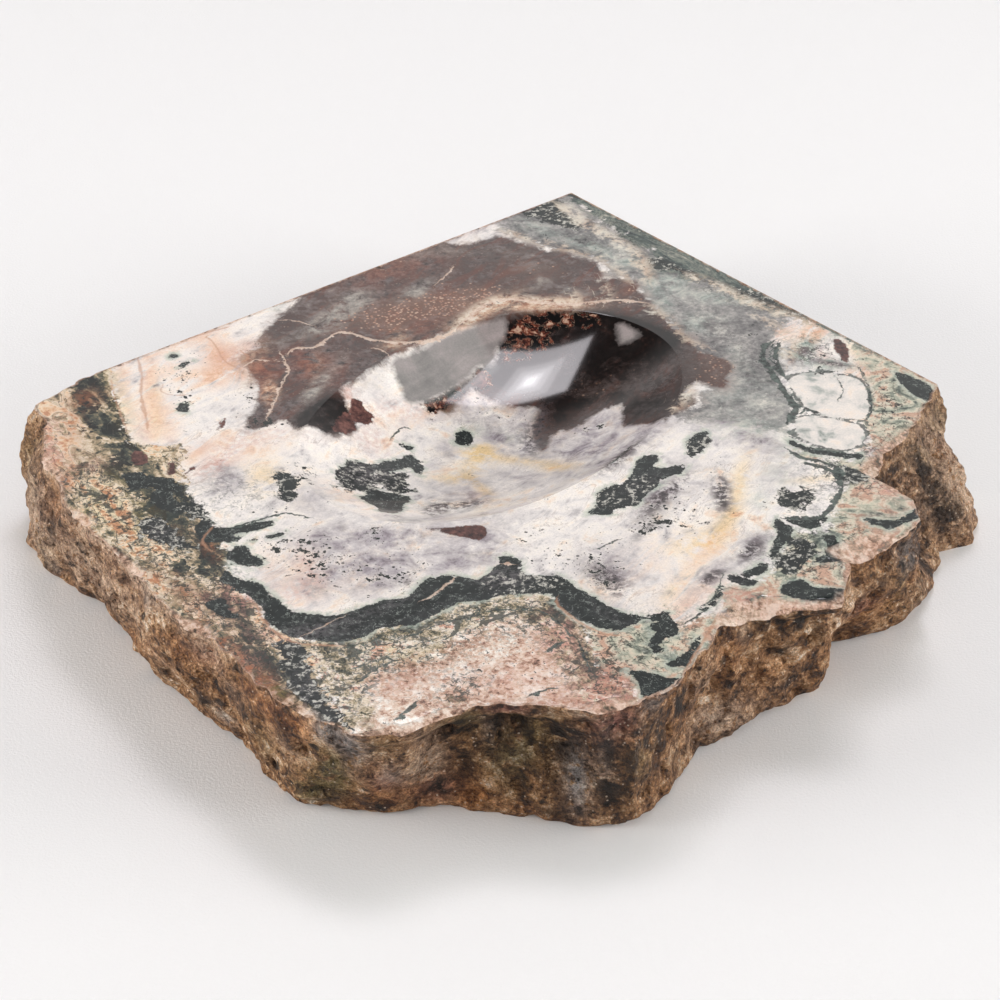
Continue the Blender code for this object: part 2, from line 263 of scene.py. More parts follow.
LEFT_MARGIN = (
    ((-98, 30), (-97, 24), (-96, 18), (-93, 8), (-90, -3), (-88.5, -9), (-80, -9),
     (-76, -13), (-75, -20), (-73.5, -28), (-70.5, -37), (-67, -43), (-61, -47),
     (-63, -52), (-61, -56), (-62, -60), (-60, -65), (-56, -72), (-52, -78),
     (-50, -85), (-40, -90), (-31, -91), (-38, -100), (-36, -108), (-33, -116),
     (-30, -128), (-60, -128), (-130, -60), (-130, 25), (-106, 40)),
)
ARCH = (
    ((-38, -88), (-30, -86), (-22, -82), (-14, -76), (-8, -72), (2, -70.6), (9, -71),
     (14, -76), (18, -83), (20, -90), (20.5, -96), (21, -101), (28, -108), (30, -113),
     (31, -128), (-33, -128), (-33, -116), (-37, -108), (-40, -98)),
)
CELLS = (
    ((71.4, 20.5), (74, 24), (79.5, 25), (85.9, 24), (90.5, 20.5), (91.5, 14),
     (91.2, 6.8), (89.5, 3.2), (86.8, 1.8), (81.4, 2.7), (75.9, 5.9), (73.6, 11.4)),
    ((72.3, 3.2), (76.8, 4.1), (82.3, 2.3), (86.8, 0.5), (88.6, -2.3), (88.2, -7.7),
     (85.9, -10.9), (82.3, -12.3), (76.8, -10.5), (72.3, -6.8), (71.4, -2.3)),
)
BRECCIA = (
    ((-0.6, 42), (1.6, 49), (6, 53.4), (12, 55.8), (18, 56.4), (24, 55.2), (26, 53),
     (22, 50.4), (16, 51), (13, 48.4), (10, 45), (6, 41.6), (2, 39.6)),
    ((-7, 32), (-5.4, 37.4), (-3.4, 36.4), (-3.2, 31.6), (-5.2, 30)),
    ((-19.6, 21.6), (-14, 27), (-10, 30.4), (-8.4, 29), (-13, 22.6), (-17, 19.6)),
)
# Not stone: smooth grey patches on the far wall of the dish, a painted reflection of a grey panel.
PAINTED_REFLECTION_PATCH = (
    ((-27.5, 32), (-22, 36.5), (-16, 42.6), (-10, 47.4), (-4, 51.2), (1, 53),
     (1.4, 49), (-0.6, 44), (-1.6, 39), (-5.4, 37.6), (-8, 33.6), (-12, 29),
     (-16, 24.8), (-20, 21.6), (-23.6, 21), (-25, 25)),
    ((31, 44), (30.4, 50.6), (33, 49.4), (36, 45.6)),
)
SOOT = (
    (15, 50, 13, 6, 12, 0.9), (28, 51, 6, 4, -20, 1.0), (40, 42, 8, 6, -45, 1.3),
    (28, 41, 11, 7, 40, 1.1), (24, 33, 10, 6, 50, 0.8), (34, 26, 18, 16, 0, 0.7),
    (-43.4, 5.4, 8, 3.8, 58, 2.6), (38, 12, 8, 10, 20, 0.6), (14, 20, 6, 10, 0, 0.55),
    (-14, 25, 8, 4, 40, 0.5), (8, 46, 11, 6, 0, 1.6), (5, 37, 12, 8, 0, 1.3),
)
CHIPPED = (
    ((49, -71), (54, -71), (60, -73.6), (68, -76), (76, -77), (79, -82), (50, -83)),
    ((78, -70), (78, -59), (84, -53.6), (92, -48), (100, -41), (104, -50), (84, -64)),
    ((87, -21), (91, -23.5), (98, -31), (104, -38), (104, -20), (96, -8), (92, -12)),
    ((93, -7), (99, -5), (103, 2), (108, 0), (99, -14)),
)

# Lines in the stone: width in millimetres, then the way they run
CREAM_LINES = (
    (0.55, ((-54, 34), (-52, 37), (-48, 37), (-46, 39), (-42, 44.5), (-39, 45),
            (-32, 41), (-25, 40), (-20, 40.5), (-14, 44.5), (-10.5, 48.6))),
    (0.85, ((-10.5, 48.6), (-8, 53), (-5, 58), (0, 62.4), (8, 61.4), (15, 60),
            (20, 60), (27, 61.5), (33, 62), (38, 60.5))),
    (0.45, ((-56, 35), (-54.5, 30), (-53, 26), (-54.5, 20), (-55.5, 12), (-57, 2))),
    (0.3, ((-65, 27), (-62, 31), (-58, 30.5))),
    (0.25, ((-33, 37), (-30, 36), (-28, 32))),
    (0.25, ((-58, 51.5), (-52, 50.6), (-48, 48))),
    (0.35, ((-17.3, -75.5), (-14, -71.5), (-10, -66))),
    (0.3, ((17, -108.4), (22, -110), (26, -112.6), (31, -114))),
    (0.2, ((-17, 70), (-14.5, 76), (-12.4, 81))),
    (0.15, ((-44, -89.5), (-38, -84), (-34, -80.6))),
    (1.1, ((1.1, -60.8), (2.5, -60.6))), (0.35, ((28, -112), (35, -108), (38, -104))),
)
VEINS = (
    (2.0, ((15, 119), (20, 113), (23.5, 106), (28, 101), (33, 94), (37, 88), (39, 80),
           (40, 72))),
    (1.8, ((-12, 48), (-8.4, 54), (-4, 60), (0, 63.4), (7, 63), (13, 61.6), (20, 60.6))),
    (1.0, ((20, 67), (20.6, 61), (18, 56.6))),
    (0.9, ((27.4, 72), (29, 66), (28, 62))),
    (1.0, ((38, 60.5), (41.6, 56), (44.6, 50), (47, 43), (52, 38))),
    (1.2, ((34, 72), (32, 77), (28, 84), (22, 88), (13, 92), (6, 97), (0, 101))),
    (1.3, ((48, 17), (46.4, 12), (43, 6))),
    (1.8, ((50, 77), (58, 70), (65, 62), (74, 55), (82, 48))),
    (1.2, ((66, 56), (70, 50), (74, 44), (75, 38), (73, 30))),
    (1.1, ((-96.4, 28), (-94.6, 19), (-91.6, 9), (-88.6, -1), (-86.4, -8))),
    (0.8, ((90.5, 33), (92, 26), (92.6, 18))),
)
DARK_LINES = (
    (1.2, ((70.0, 41), (67.4, 38), (66.2, 32.3), (67.6, 26.6), (69.2, 20.5),
           (70.8, 14), (72.6, 8.2), (71.6, 4), (70.0, 0.5))),
    (0.7, ((71.4, 40), (70.4, 36), (69.8, 31), (70.4, 26.6), (71.4, 21))),
    (0.9, ((72.6, 9), (75.4, 6.6), (78, 5.2))),
    (0.8, ((68.6, -11.4), (72.3, -15.5), (76, -17), (79.5, -19.5), (81.4, -22),
           (80, -25))),
    (0.8, ((71.4, -14.5), (74, -18.6), (78.6, -21.4), (80.3, -25.9), (79.5, -31.4),
           (77.7, -35.9), (75, -40.5), (72.3, -41.8), (67.7, -41.8), (65, -41.4))),
    (0.4, ((-62, -46), (-55, -42), (-50, -39.7), (-44, -41.5))),
    (0.35, ((-27, 6), (-25.5, 9), (-23.5, 11.5), (-22.2, 11.4))),
    (0.3, ((22, -54.5), (24, -53), (27, -51.2))),
    (0.3, ((24, -52.4), (25.6, -51.6), (27.4, -50.6))),
    (0.45, ((90, 28), (91.4, 21), (91.6, 13), (90.6, 5), (88.6, 1))),
    (0.3, ((84, 22), (85, 16), (83.4, 11))),
    (0.55, ((10, -94), (12, -91.6), (14, -90.6))),
    (0.5, ((26, -18), (29, -14), (32, -8))),
    (0.3, ((-9, -84), (-4, -79.4), (2, -78.4), (9, -79), (13, -84), (16.6, -90),
           (18.4, -97), (19.4, -101))),
    (0.3, ((-8, -81), (-4, -78), (3, -77.2), (10, -78))),
    (0.3, ((44, -78), (47, -74.4), (49.4, -68), (50.6, -64))),
    (0.3, ((40, -84.4), (44, -80), (46, -77.6))),
    (0.2, ((-34, -97), (-29, -94), (-24, -90), (-18, -87), (-12, -83), (-6, -81))),
    (0.2, ((-33, -101), (-28, -98), (-22, -94), (-17, -91), (-11, -88))),
    (0.2, ((-36, -94), (-30, -91), (-24, -88), (-19, -85))),
    (0.25, ((-31, -106), (-27, -101), (-24, -98), (-21, -97))),
    (0.6, ((-21.5, -118), (-19.5, -115), (-17.5, -112))), (0.4, ((6, -110), (9, -108), (12, -107))),
)
RUST_LINES = (
    (0.3, ((-97.6, 25), (-96, 15), (-93, 5), (-90.4, -4))),
    (0.5, ((-91.6, 32), (-89.6, 22), (-89.0, 14), (-87, 5), (-85.4, -3))),
    (0.35, ((-80, 42), (-74, 45.6), (-70, 48))),
    (0.3, ((-83, 40), (-76, 43), (-72.4, 38), (-70, 31), (-66, 27))),
    (0.25, ((-84, 18.6), (-84, 15.4), (-81, 13.6), (-77, 14))),
    (0.3, ((-66, 35.6), (-63.6, 32), (-66, 29))),
    (0.35, ((-34, -92), (-40, -91.6), (-46, -90), (-51, -84), (-54, -76))),
    (0.35, ((12.6, -73.6), (13, -77), (18, -83.6), (23, -87.6), (27, -88))),
    (0.3, ((-66, -45), (-68, -51), (-66, -55))),
    (0.35, ((38, -108), (40, -100), (45, -88), (48, -80))),
    (0.25, ((-59.4, 13), (-58.2, 16.4), (-56.4, 18.4))),
)

# Soft stains: x, y, half length, half width, turn (degrees), strength
PEACH = (
    (-87.6, 20, 17, 2.0, -84, 0.7), (-85.6, -2, 8, 1.8, -80, 0.5), (-73, 22, 6, 5, 20, 1.0),
    (-72, 34, 10, 4, -75, 1.0), (-83, 6, 9, 4, -75, 0.6), (-90, 4, 14, 1.4, -76, 0.4),
    (-80, -5, 7, 3, -60, 0.4), (-56.5, 14.5, 1.6, 4.6, 0, 1.0), (-72, -12, 5, 2, 60, 0.6),
    (-80, 40, 10, 3, 40, 0.5), (-66, 26, 2.4, 6, 30, 0.8), (-90, 34, 8, 2, 35, 0.6),
    (46, -58, 14, 3, 62, 0.5), (43, -74, 9, 4, 50, 0.5), (72, 47, 4, 6, -20, 0.9),
    (80, 43, 8, 3, 60, 0.9), (91.5, 27, 1.8, 7, 0, 1.0), (88, 24, 2, 5, 0, 0.7),
    (-4, 57, 11, 3, 45, 1.0), (8, 61, 12, 3, 0, 1.0), (18, 61, 5, 2.5, 0, 0.7),
    (34, -90, 12, 3, 60, 1.0), (36, -100, 8, 2.4, 60, 0.6), (-36, -28, 9, 4, -30, 0.4),
    (-46, 26, 2, 10, 0, 0.2), (-64, -14, 14, 8, 30, 0.25), (30, -64, 16, 6, 60, 0.3),
    (-35, -63, 9, 9, 0, 0.25), (-44, -66, 5, 9, 0, 0.4), (-5, -21, 3, 8, 15, 0.5),
    (-16, 20, 10, 2, 45, 0.5), (-28, 38, 3, 2, 0, 0.6), (-26, 43, 3, 4, 0, 0.55),
    (100, 4, 10, 2, 70, 0.5), (-52, -62, 3, 9, 10, 0.35), (-57.5, 16, 1.0, 4, 0, 1.3),
    (-94, 24, 8, 1.6, -78, 0.8), (-84, 26, 6, 4, 60, 0.5), (80, 45, 5, 2.2, 60, 1.3),
    (-64, 36, 5, 7, 0, 0.5), (10, 58, 12, 2, 0, 0.9), (-7, 52, 6, 2, 52, 0.9),
)
YELLOW = (
    (-11, -8, 6, 3, 10, 0.7), (-6, 0, 4, 8, -20, 0.7), (2, 2.5, 9, 2.2, -25, 0.7),
    (14, -6, 8, 3, -50, 0.75), (-4, -15, 8, 1.8, -70, 0.8), (-94, 14, 16, 2.4, -76, 0.7),
    (74, -25, 6, 1.6, 10, 0.5), (-84.6, 6, 14, 1.6, -82, 0.8), (-4, 8, 5, 3, 60, 0.6),
    (56, -28, 14, 2, 78, 0.7), (50, -48, 12, 2.6, 65, 0.8), (43, -52, 6, 5, 40, 0.6),
    (-52, -26, 9, 5, -60, 0.45), (-57, -24, 4, 6, 0, 0.35), (-96, -40, 5, 3, -50, 0.7),
    (-86, -40, 12, 6, -60, 0.45), (-93, -28, 8, 6, -60, 0.4), (-24, -93, 2, 3, 0, 0.7),
    (-18, -96, 7, 2.5, 20, 0.55), (-47, -109, 9, 2, -58, 0.9), (102, -35, 4, 20, 8, 0.4),
    (92, 34, 3, 7, 30, 0.6), (101, 4, 2, 12, 0, 0.4), (46, 79, 4, 1.5, 0, 0.6),
    (-8, 6, 6, 3, 20, 0.4), (39, -70, 8, 2, 60, 0.5),
)
LILAC = (
    (46, -25, 5, 9, 0, 0.5),
    (-14.5, 3, 2.4, 9, -12, 0.9), (4.5, -8, 8, 4, -45, 0.7), (-10, -18, 7, 7, 20, 0.9),
    (-7, -8, 6, 3, -60, 0.5), (20, 3, 10, 8, -30, 0.9), (25, -64, 8, 12, 10, 1.0),
    (-65, -26, 4.5, 5.5, 0, 1.2), (37, -33, 12, 3.8, 62, 1.1), (52, -30, 2.4, 9, 0, 1.1),
    (57, -54, 3.5, 9, -22, 1.1), (47, -66, 2.4, 8, -30, 0.9), (-40, -56, 6, 12, 10, 0.7),
    (-11, -54, 10, 9, 0, 1.9), (-26, -56, 8, 10, 0, 1.3), (-48, 40, 5, 3, 0, 0.4),
    (-32, 22, 5, 6, 30, 0.4),
    (-12, -38, 12, 4, 0, 0.5), (62, 14, 4, 10, 0, 0.3),
    (-2, 20, 8, 7, 0, 1.5), (4, 14, 5, 8, 0, 1.2), (-9, 27, 4, 3, 40, 1.0),
    (24, 11, 10, 9, 0, 1.5), (-66, 8, 6, 6, 0, 0.15), (32, 0, 8, 8, 0, 1.0),
    (62, -8, 6, 5, 0, 0.7), (55, 0, 8, 6, 0, 1.2), (-36, -50, 12, 6, 0, 0.7),
    (66, -20, 6, 8, 0, 0.6),
    (-30, -66, 12, 8, 0, 0.8), (76, 32, 5, 5, 0, 0.8), (80, -4, 8, 5, 0, 0.5),
    (-44, -34, 8, 7, 0, 0.5), (4, -30, 5, 12, -20, 0.6), (20, -14, 12, 7, -40, 0.6),
    (32, -8, 4, 10, -40, 0.9), (2, 12, 5, 8, 0, 0.6), (-50, -66, 4, 8, 0, 0.4),
    (-4, 22, 4, 5, 0, 0.6), (66, -10, 5, 5, 0, 0.3), (-2, -52, 6, 6, 0, 0.5),
)
PINK = (
    (-68, 33, 6, 7, -30, 0.6), (-60, 29, 4, 6, 0, 0.7), (-110, -8, 4, 13, 0, 0.7),
    (-106, -15, 4, 5, 0, 0.6), (-76, 46, 9, 2, 35, 0.5), (-62, -8, 12, 5, 25, 0.45),
    (-68, -19, 3, 6, -40, 0.7), (-43, -62, 3, 9, 15, 0.55), (-46, -72, 4, 5, 20, 0.4),
    (-25, 17, 10, 4, 30, 0.4), (-31, 3, 5, 6, 0, 0.4), (-38, 16, 2, 3, 0, 0.8),
    (-10, 102, 8, 3, 38, 0.5), (54, -74, 7, 4, -15, 0.9), (70, -76.5, 8, 3, -5, 0.8),
    (85, -56, 10, 4, 42, 0.9), (92, -27, 6, 7, 60, 0.9), (92, -12, 4, 5, 0, 0.8),
    (-57, -74, 7, 3, -50, 0.9), (-66, -96, 12, 3, -60, 0.7), (-50, -88, 4, 3, -40, 0.7),
    (22, -111, 9, 6, 0, 1.0), (13, -90, 5, 9, 10, 1.0), (-62, -78, 9, 3, -50, 0.6),
    (0, -104, 14, 6, 0, 0.5), (24, -103, 5, 6, 0, 0.9), (-22, -106, 6, 4, 0, 0.5),
    (96, -40, 4, 3, 30, 0.5), (-84, -64, 8, 2.5, -55, 0.5), (-97, -18, 4, 4, 0, 0.3),
    (-55, -98, 8, 4, -60, 0.5), (82, 33, 2, 5, 20, 0.4),
)
TEAL = (
    (61, -2, 8, 4, 0, 0.5), (44, 72, 6, 6, 0, 0.8), (58, 63, 8, 3, -10, 0.7),
    (52, 50, 6, 5, 0, 0.5), (60, 30, 3, 8, 0, 0.3), (24, 92, 8, 3, -40, 0.6),
    (10, 103, 7, 3, -40, 0.5), (42, 60, 4, 6, 0, 0.6),
    (-62, 23, 3, 5, 0, 0.4), (75, 34, 3.5, 4, 0, 0.8), (77, 15, 6, 7, 0, 0.45),
    (66, -24, 4, 6, 0, 0.35), (60, -33, 2.5, 6, 10, 0.4), (69, -10, 3, 6, 0, 0.5),
    (70, -62, 10, 6, -30, 0.55), (62, -68, 8, 4, -10, 0.6), (76, -64, 4, 8, 0, 0.4),
    (78, 20, 5, 3, 0, 0.4), (-43, 55, 3, 8, -20, 0.4), (-57, 58, 3, 3, 0, 0.5),
    (24, -92, 4, 8, 10, 0.5), (34, 84, 6, 5, 0, 0.6), (-6, 15, 4, 4, 0, 0.35),
    (77.6, 37, 2.4, 5, -15, 1.3), (84, 29.5, 7, 2, -10, 1.3), (87, 45, 5, 3, 50, 0.9),
    (60, 12, 12, 12, 0, 0.25),
    (2, 13, 5, 3, 0, 0.3), (81, 27, 5, 2, 0, 0.5),
)
RUST = (
    (-101, -22, 5, 4, 0, 0.5), (-60, -93, 16, 3.5, -60, 0.75), (-50, -108, 14, 3.5, -58, 0.85),
    (-71, -70, 10, 3, -50, 0.7), (-88, -62, 10, 2.5, -58, 0.7), (-104, -26, 8, 2, -60, 0.6),
    (-66, -86, 8, 2.5, -55, 0.7), (10, -112, 12, 1.8, 0, 1.0), (-102, 12, 5, 4, 50, 0.5),
    (-66.5, -52, 2, 6, 20, 0.7), (39, -109, 5, 2, 60, 0.8), (-76, -48, 3, 3, 0, 0.6),
    (-95, -52, 8, 2, -55, 0.6), (94, -11, 4, 3, 0, 0.4), (80, -66, 2, 7, 0, 0.5),
    (14, 20, 5, 7, 10, 0.35), (-28, 80, 16, 6, 38, 0.5),
    (-45, 27, 7, 8, 0, 0.5), (-104, -2, 3, 12, 10, 0.4), (-20, -103, 3, 3, 0, 0.3),
    (-61, 27, 5, 9, 10, 0.8), (-57.4, 15.6, 1.4, 4, 0, 1.4), (24, -106, 8, 6, 0, 0.5),
    (-50, 32, 3, 6, 20, 0.4), (-20, 48, 8, 4, 30, 0.4), (-36, 60, 10, 5, 30, 0.3),
)
CLOUD = (
    (-42, 54, 4, 9, -35, 1.6), (-37, 63, 4, 4, 0, 1.1), (-46, 48, 3, 3, 0, 0.8),
    (-22, 67, 3, 6, -35, 1.3), (-45.5, 18, 1.6, 8, -20, 1.4), (-57, 58, 3, 2, 0, 0.5),
    (-20, 88, 6, 3, 40, 0.4), (-12, 90, 6, 4, 0, 0.35), (-40, 31, 2, 5, 0, 0.3),
    (10, 80, 5, 3, 0, 0.25), (11, 73.5, 2.4, 2, 0, 0.7), (22, 66, 3, 3, 0, 0.4),
    (34, 44, 1.6, 5, -20, 0.5), (2, 88, 8, 4, 0, 0.2), (-52, 43, 6, 2, 30, 0.4),
    (27, 88, 3, 4, 0, 0.4), (8, 67, 5, 1.5, 60, 0.5), (18, 67, 5, 1.5, 70, 0.5),
    (-42, -87, 13, 3, 22, 0.9), (-24, -76, 8, 1.6, 34, 0.5), (1, -66, 6, 4, 0, 1.0),
    (-41, -106, 5, 12, -22, 0.35), (24, -80, 6, 2, -50, 0.4), (52, -68, 3, 5, 0, 0.3),
    (-32, -13, 8, 5, 30, 1.0), (-78, -48, 6, 5, -50, 0.5), (33, -28, 8, 3, 50, 0.4),
)
GRANULES = (
    (-22, 56, 15, 5, 12, 1.0), (-30, 50, 6, 5, 0, 0.8), (-12, 64, 9, 3.5, 30, 0.9),
    (-18, 60, 12, 5, 20, 0.8), (-14, 76, 2, 7, -18, 0.35), (-30, 80, 10, 5, 38, 0.3),
    (-4, 66, 4, 3, 0, 0.6), (-40, 46, 5, 3, 0, 0.3), (24, 28, 14, 8, 20, 0.35),
    (32, 66, 5, 5, 0, 0.4), (8, 78, 10, 6, 0, 0.35), (55, 28, 7, 14, 0, 0.55),
    (52, 8, 5, 6, -40, 0.5), (56, 44, 8, 7, 0, 0.5), (0, -95, 16, 10, 0, 0.9),
    (-20, -108, 12, 8, 0, 0.7), (18, -104, 8, 7, 0, 0.7), (-98, 0, 4, 10, 15, 0.7),
    (92, -28, 6, 8, 0, 0.7), (85, -57, 8, 4, 40, 0.6), (62, -76, 14, 3, -10, 0.6),
)
SPECKS = (
    (-80, 26, 5, 9, -10, 0.8), (-78, 12, 4, 9, 15, 0.75), (-62, 12, 2.5, 8, 0, 0.9),
    (-63, 38, 2, 5, 0, 0.9), (-58, 0, 5, 3, 0, 0.9), (-49, -28, 5, 8, 0, 1.0),
    (-73, -36, 5, 5, -50, 0.6), (-58, -38, 6, 4, 0, 0.7), (-30, -47, 6, 3, 0, 0.9),
    (-26, -50, 4, 3, 0, 0.7), (-42, -56, 4, 7, 0, 0.75), (-23, -66, 4, 3, 0, 0.8),
    (24, -65, 4, 8, 0, 1.0), (37, -37, 4, 8, -30, 0.7), (57, -55, 2, 5, -25, 1.0),
    (69.5, -33, 4.5, 5, 0, 1.0), (34, -45, 3, 6, -40, 0.8), (15, -50, 20, 12, 0, 0.3),
    (-35, -62, 18, 10, 0, 0.8), (60, 40, 12, 16, 0, 0.5), (-8, 12, 5, 4, 0, 0.8),
    (-50, -52, 7, 7, 0, 0.8), (14, -60, 12, 8, 0, 0.6), (44, -40, 8, 14, -30, 0.6),
    (-46, -20, 5, 5, 0, 0.5), (84, 30, 7, 5, 0, 0.7), (82, 24, 6, 2, 0, 0.7),
    (96, 14, 6, 20, 0, 0.7), (-5, 26, 3, 4, 0, 0.7), (2, 21, 6, 2, 0, 0.7),
    (22, 12, 8, 2.4, 10, 0.7), (8, 8, 4, 5, 0, 0.5), (-17, 16, 6, 3, 0, 0.4),
    (52, -17, 3, 3, 0, 0.5), (66, -52, 6, 8, 0, 0.6), (-7, -24, 5, 2, 20, 0.6),
    (10, 100, 14, 8, 0, 0.4), (40, 78, 8, 8, 0, 0.4), (-90, -35, 12, 14, -30, 0.5),
    (100, -2, 6, 8, 0, 0.5), (-55, 0, 6, 3, 0, 0.7), (0, -100, 24, 14, 0, 0.45),
)
SMOKE = (
    (-15, -29, 2.6, 5.4, -10, 1.7), (-8, -25, 5.4, 2.6, 24, 1.5), (-4, -36, 1.4, 3, 0, 0.5),
    (-24, -37, 1.2, 3, 0, 0.5), (52, -31, 1.9, 8, 0, 1.5), (24, -67, 3.5, 6, 20, 1.3),
    (37, -34, 2.4, 8, -32, 1.2), (57, -55, 1.8, 4.4, -24, 1.6), (47.4, -65.6, 1.4, 4, -35, 1.4),
    (29, -14.5, 2.0, 8, -34, 1.3), (34, -46, 1.2, 6, -38, 0.9), (42, -27, 1.4, 6, -36, 0.9),
    (-66, -25, 3, 4, 0, 0.45), (8, 10, 3, 8, 0, 0.8), (10, 19, 2, 8, -10, 0.9),
    (-59, 3, 1.2, 5, 0, 0.7), (-21, -68, 2, 1.4, 0, 0.7), (88, -40, 5, 2, 10, 0.8),
    (-41, -70, 2, 5, 10, 0.4), (62, 30, 3, 12, 0, 0.35), (54, 46, 6, 9, 0, 0.45),
    (99, -12, 3, 3, 0, 0.6), (93, -16, 2.5, 6, 20, 0.5), (77.5, 36, 1.6, 4, -20, 1.2),
    (84, 29, 5, 1.4, -15, 1.3), (82, 23, 1.2, 3, 0, 1.0), (73.6, 33, 1.0, 5, 0, 0.9),
)
STRINGERS = (
    (-24, -92, 16, 10, 20, 0.9), (-34, -104, 6, 14, 10, 0.8), (-12, -84, 14, 6, 25, 0.8),
    (8, -82, 12, 8, -30, 0.7), (18, -98, 5, 14, 10, 0.8), (-72, -58, 20, 8, -55, 1.0),
    (-56, -88, 18, 7, -60, 1.0), (-94, -32, 14, 9, -50, 1.0), (-79, -35, 11, 4.5, -50, 0.9),
    (72, -56, 18, 12, 60, 0.7), (34, -94, 16, 12, 50, 0.7), (84, -20, 12, 12, 0, 0.7),
    (96, 8, 8, 22, 0, 0.5), (-62, -30, 12, 12, 0, 0.3), (78, 36, 8, 8, 0, 0.6),
    (-8, -108, 5, 8, -30, 0.7), (36, 100, 12, 14, -50, 0.5), (62, 66, 20, 6, -40, 0.5),
)
SHADE = (
    (-101, 15, 13, 4, -68, 1.6), (-96, 0, 13, 5, -74, 1.7), (-91, -12, 8, 5, -40, 1.2),
    (-86, -20, 8, 4, 20, 0.9), (-79, -33, 13, 7, -48, 1.1), (-72, -47, 10, 6, -60, 1.1),
    (-66, -58, 7, 4, -50, 1.0), (-60, -76, 7, 3.4, -60, 1.1), (-52, -95, 13, 3.4, -64, 1.3),
    (-44, -108, 9, 3, -55, 1.0), (-104, -24, 3, 5, 10, 0.5), (-86, -58, 6, 2, -60, 0.7),
    (-31, -89, 9, 3, 20, 0.4), (-16, -83, 8, 2.0, 30, 0.4), (-33, -101, 4, 3, 0, 0.7),
    (-20, -98, 3, 3, 0, 0.6), (19, -97, 9, 2.4, -75, 0.8), (14, -80, 6, 2, -50, 0.7),
    (34, -95, 8, 5, -60, 0.5), (84, -21, 5, 5, 0, 0.6), (99, 16, 8, 4, 60, 0.7),
    (-12, -112, 5, 3, 20, 0.6), (8, -100, 3, 3, 0, 0.5), (74, -48, 4, 6, 0, 0.5),
    (24, -108, 6, 4, 0, 0.7), (-8, -93, 2, 5, -40, 0.6),
)

# Stains and painted light and shade on the wall: direction (degrees, 170 to 380),
# height (mm), half spans, lean (degrees), strength
# Dark patches on the wall. The broad ones at 275, 286, 300 and 344 degrees are painted shade over
# the front and right of the wall. Those at 308 to 312 degrees, high up, are a painted shadow under
# the overhanging rim. The low ones at 275 and 300 degrees darken the foot. The rest are dark pits
# and fissures of the stone, partly their own colour and partly painted shade inside them.
WALL_DARK_AND_SHADE = (
    (275, 17, 11, 16, 0, 0.5), (344, 12, 8, 12, 0, 0.4), (310, 27.5, 3.2, 2.6, 0, 2.0),
    (292, 20, 1.2, 6, 12, 1.4), (286, 16, 3, 12, 0, 0.4), (300, 20, 10, 12, 0, 0.3),
    (184, 18, 1.2, 4, 0, 0.8), (193, 16, 1.4, 6, -20, 0.9), (197, 5, 3, 1.4, 0, 0.9),
    (199, 18, 1.0, 3, 0, 0.6), (205, 19, 0.8, 3, 0, 0.7), (211.5, 16, 0.9, 3, 0, 0.8),
    (216, 4, 2.4, 2, 0, 0.8), (222, 8, 1.4, 3, 0, 0.6), (226.5, 18, 1.4, 3, 0, 0.9),
    (232.5, 11, 1.6, 2.4, 0, 1.0), (229, 11, 1.2, 1.6, 0, 0.7), (236, 16, 1, 4, 0, 0.4),
    (243, 7, 1.5, 6, 0, 0.5), (247, 22, 1.2, 4, 0, 0.5), (251, 5, 2, 3, 0, 0.9),
    (256, 5, 2, 3, 0, 0.8), (263, 6, 2.6, 5, 0, 0.9), (266, 14, 1, 6, 0, 0.5),
    (268, 26, 3.6, 5, 0, 0.4), (272.5, 25, 2.4, 6, 0, 0.4), (276.5, 22, 1.4, 10, 0, 0.5),
    (281.5, 12, 1.4, 6, 0, 0.8), (284, 22, 1.2, 6, 0, 0.5), (288, 18, 1, 4, 0, 0.6),
    (291, 25, 1.0, 3, 0, 0.9), (292, 8, 2, 6, 0, 0.6), (308, 28.5, 2.4, 2.4, 0, 1.0),
    (312, 27, 2.2, 3, 0, 1.0), (309.5, 18, 1.0, 3, 0, 0.9), (313, 22, 2.4, 3, 0, 0.6),
    (305, 4, 2, 2.4, 0, 0.5), (311, 8, 3, 4, 0, 0.5), (328, 24, 2, 5, 0, 0.6),
    (326, 7, 2, 5, 0, 0.5), (338, 10, 4, 6, 0, 0.5), (353, 25, 1.4, 5, 0, 0.8),
    (357, 24, 2, 6, 0, 0.8), (356, 12, 1.4, 9, 0, 0.9), (369, 7, 4, 6, 0, 0.8),
    (371, 12, 1.6, 2, 0, 0.8), (350, 8, 3, 6, 0, 0.5), (344, 20, 3, 8, 0, 0.5),
    (345, 26, 6, 2.4, 0, 0.6), (300, 2, 5, 1, 0, 0.6), (275, 3, 6, 1.6, 0, 0.6),
)
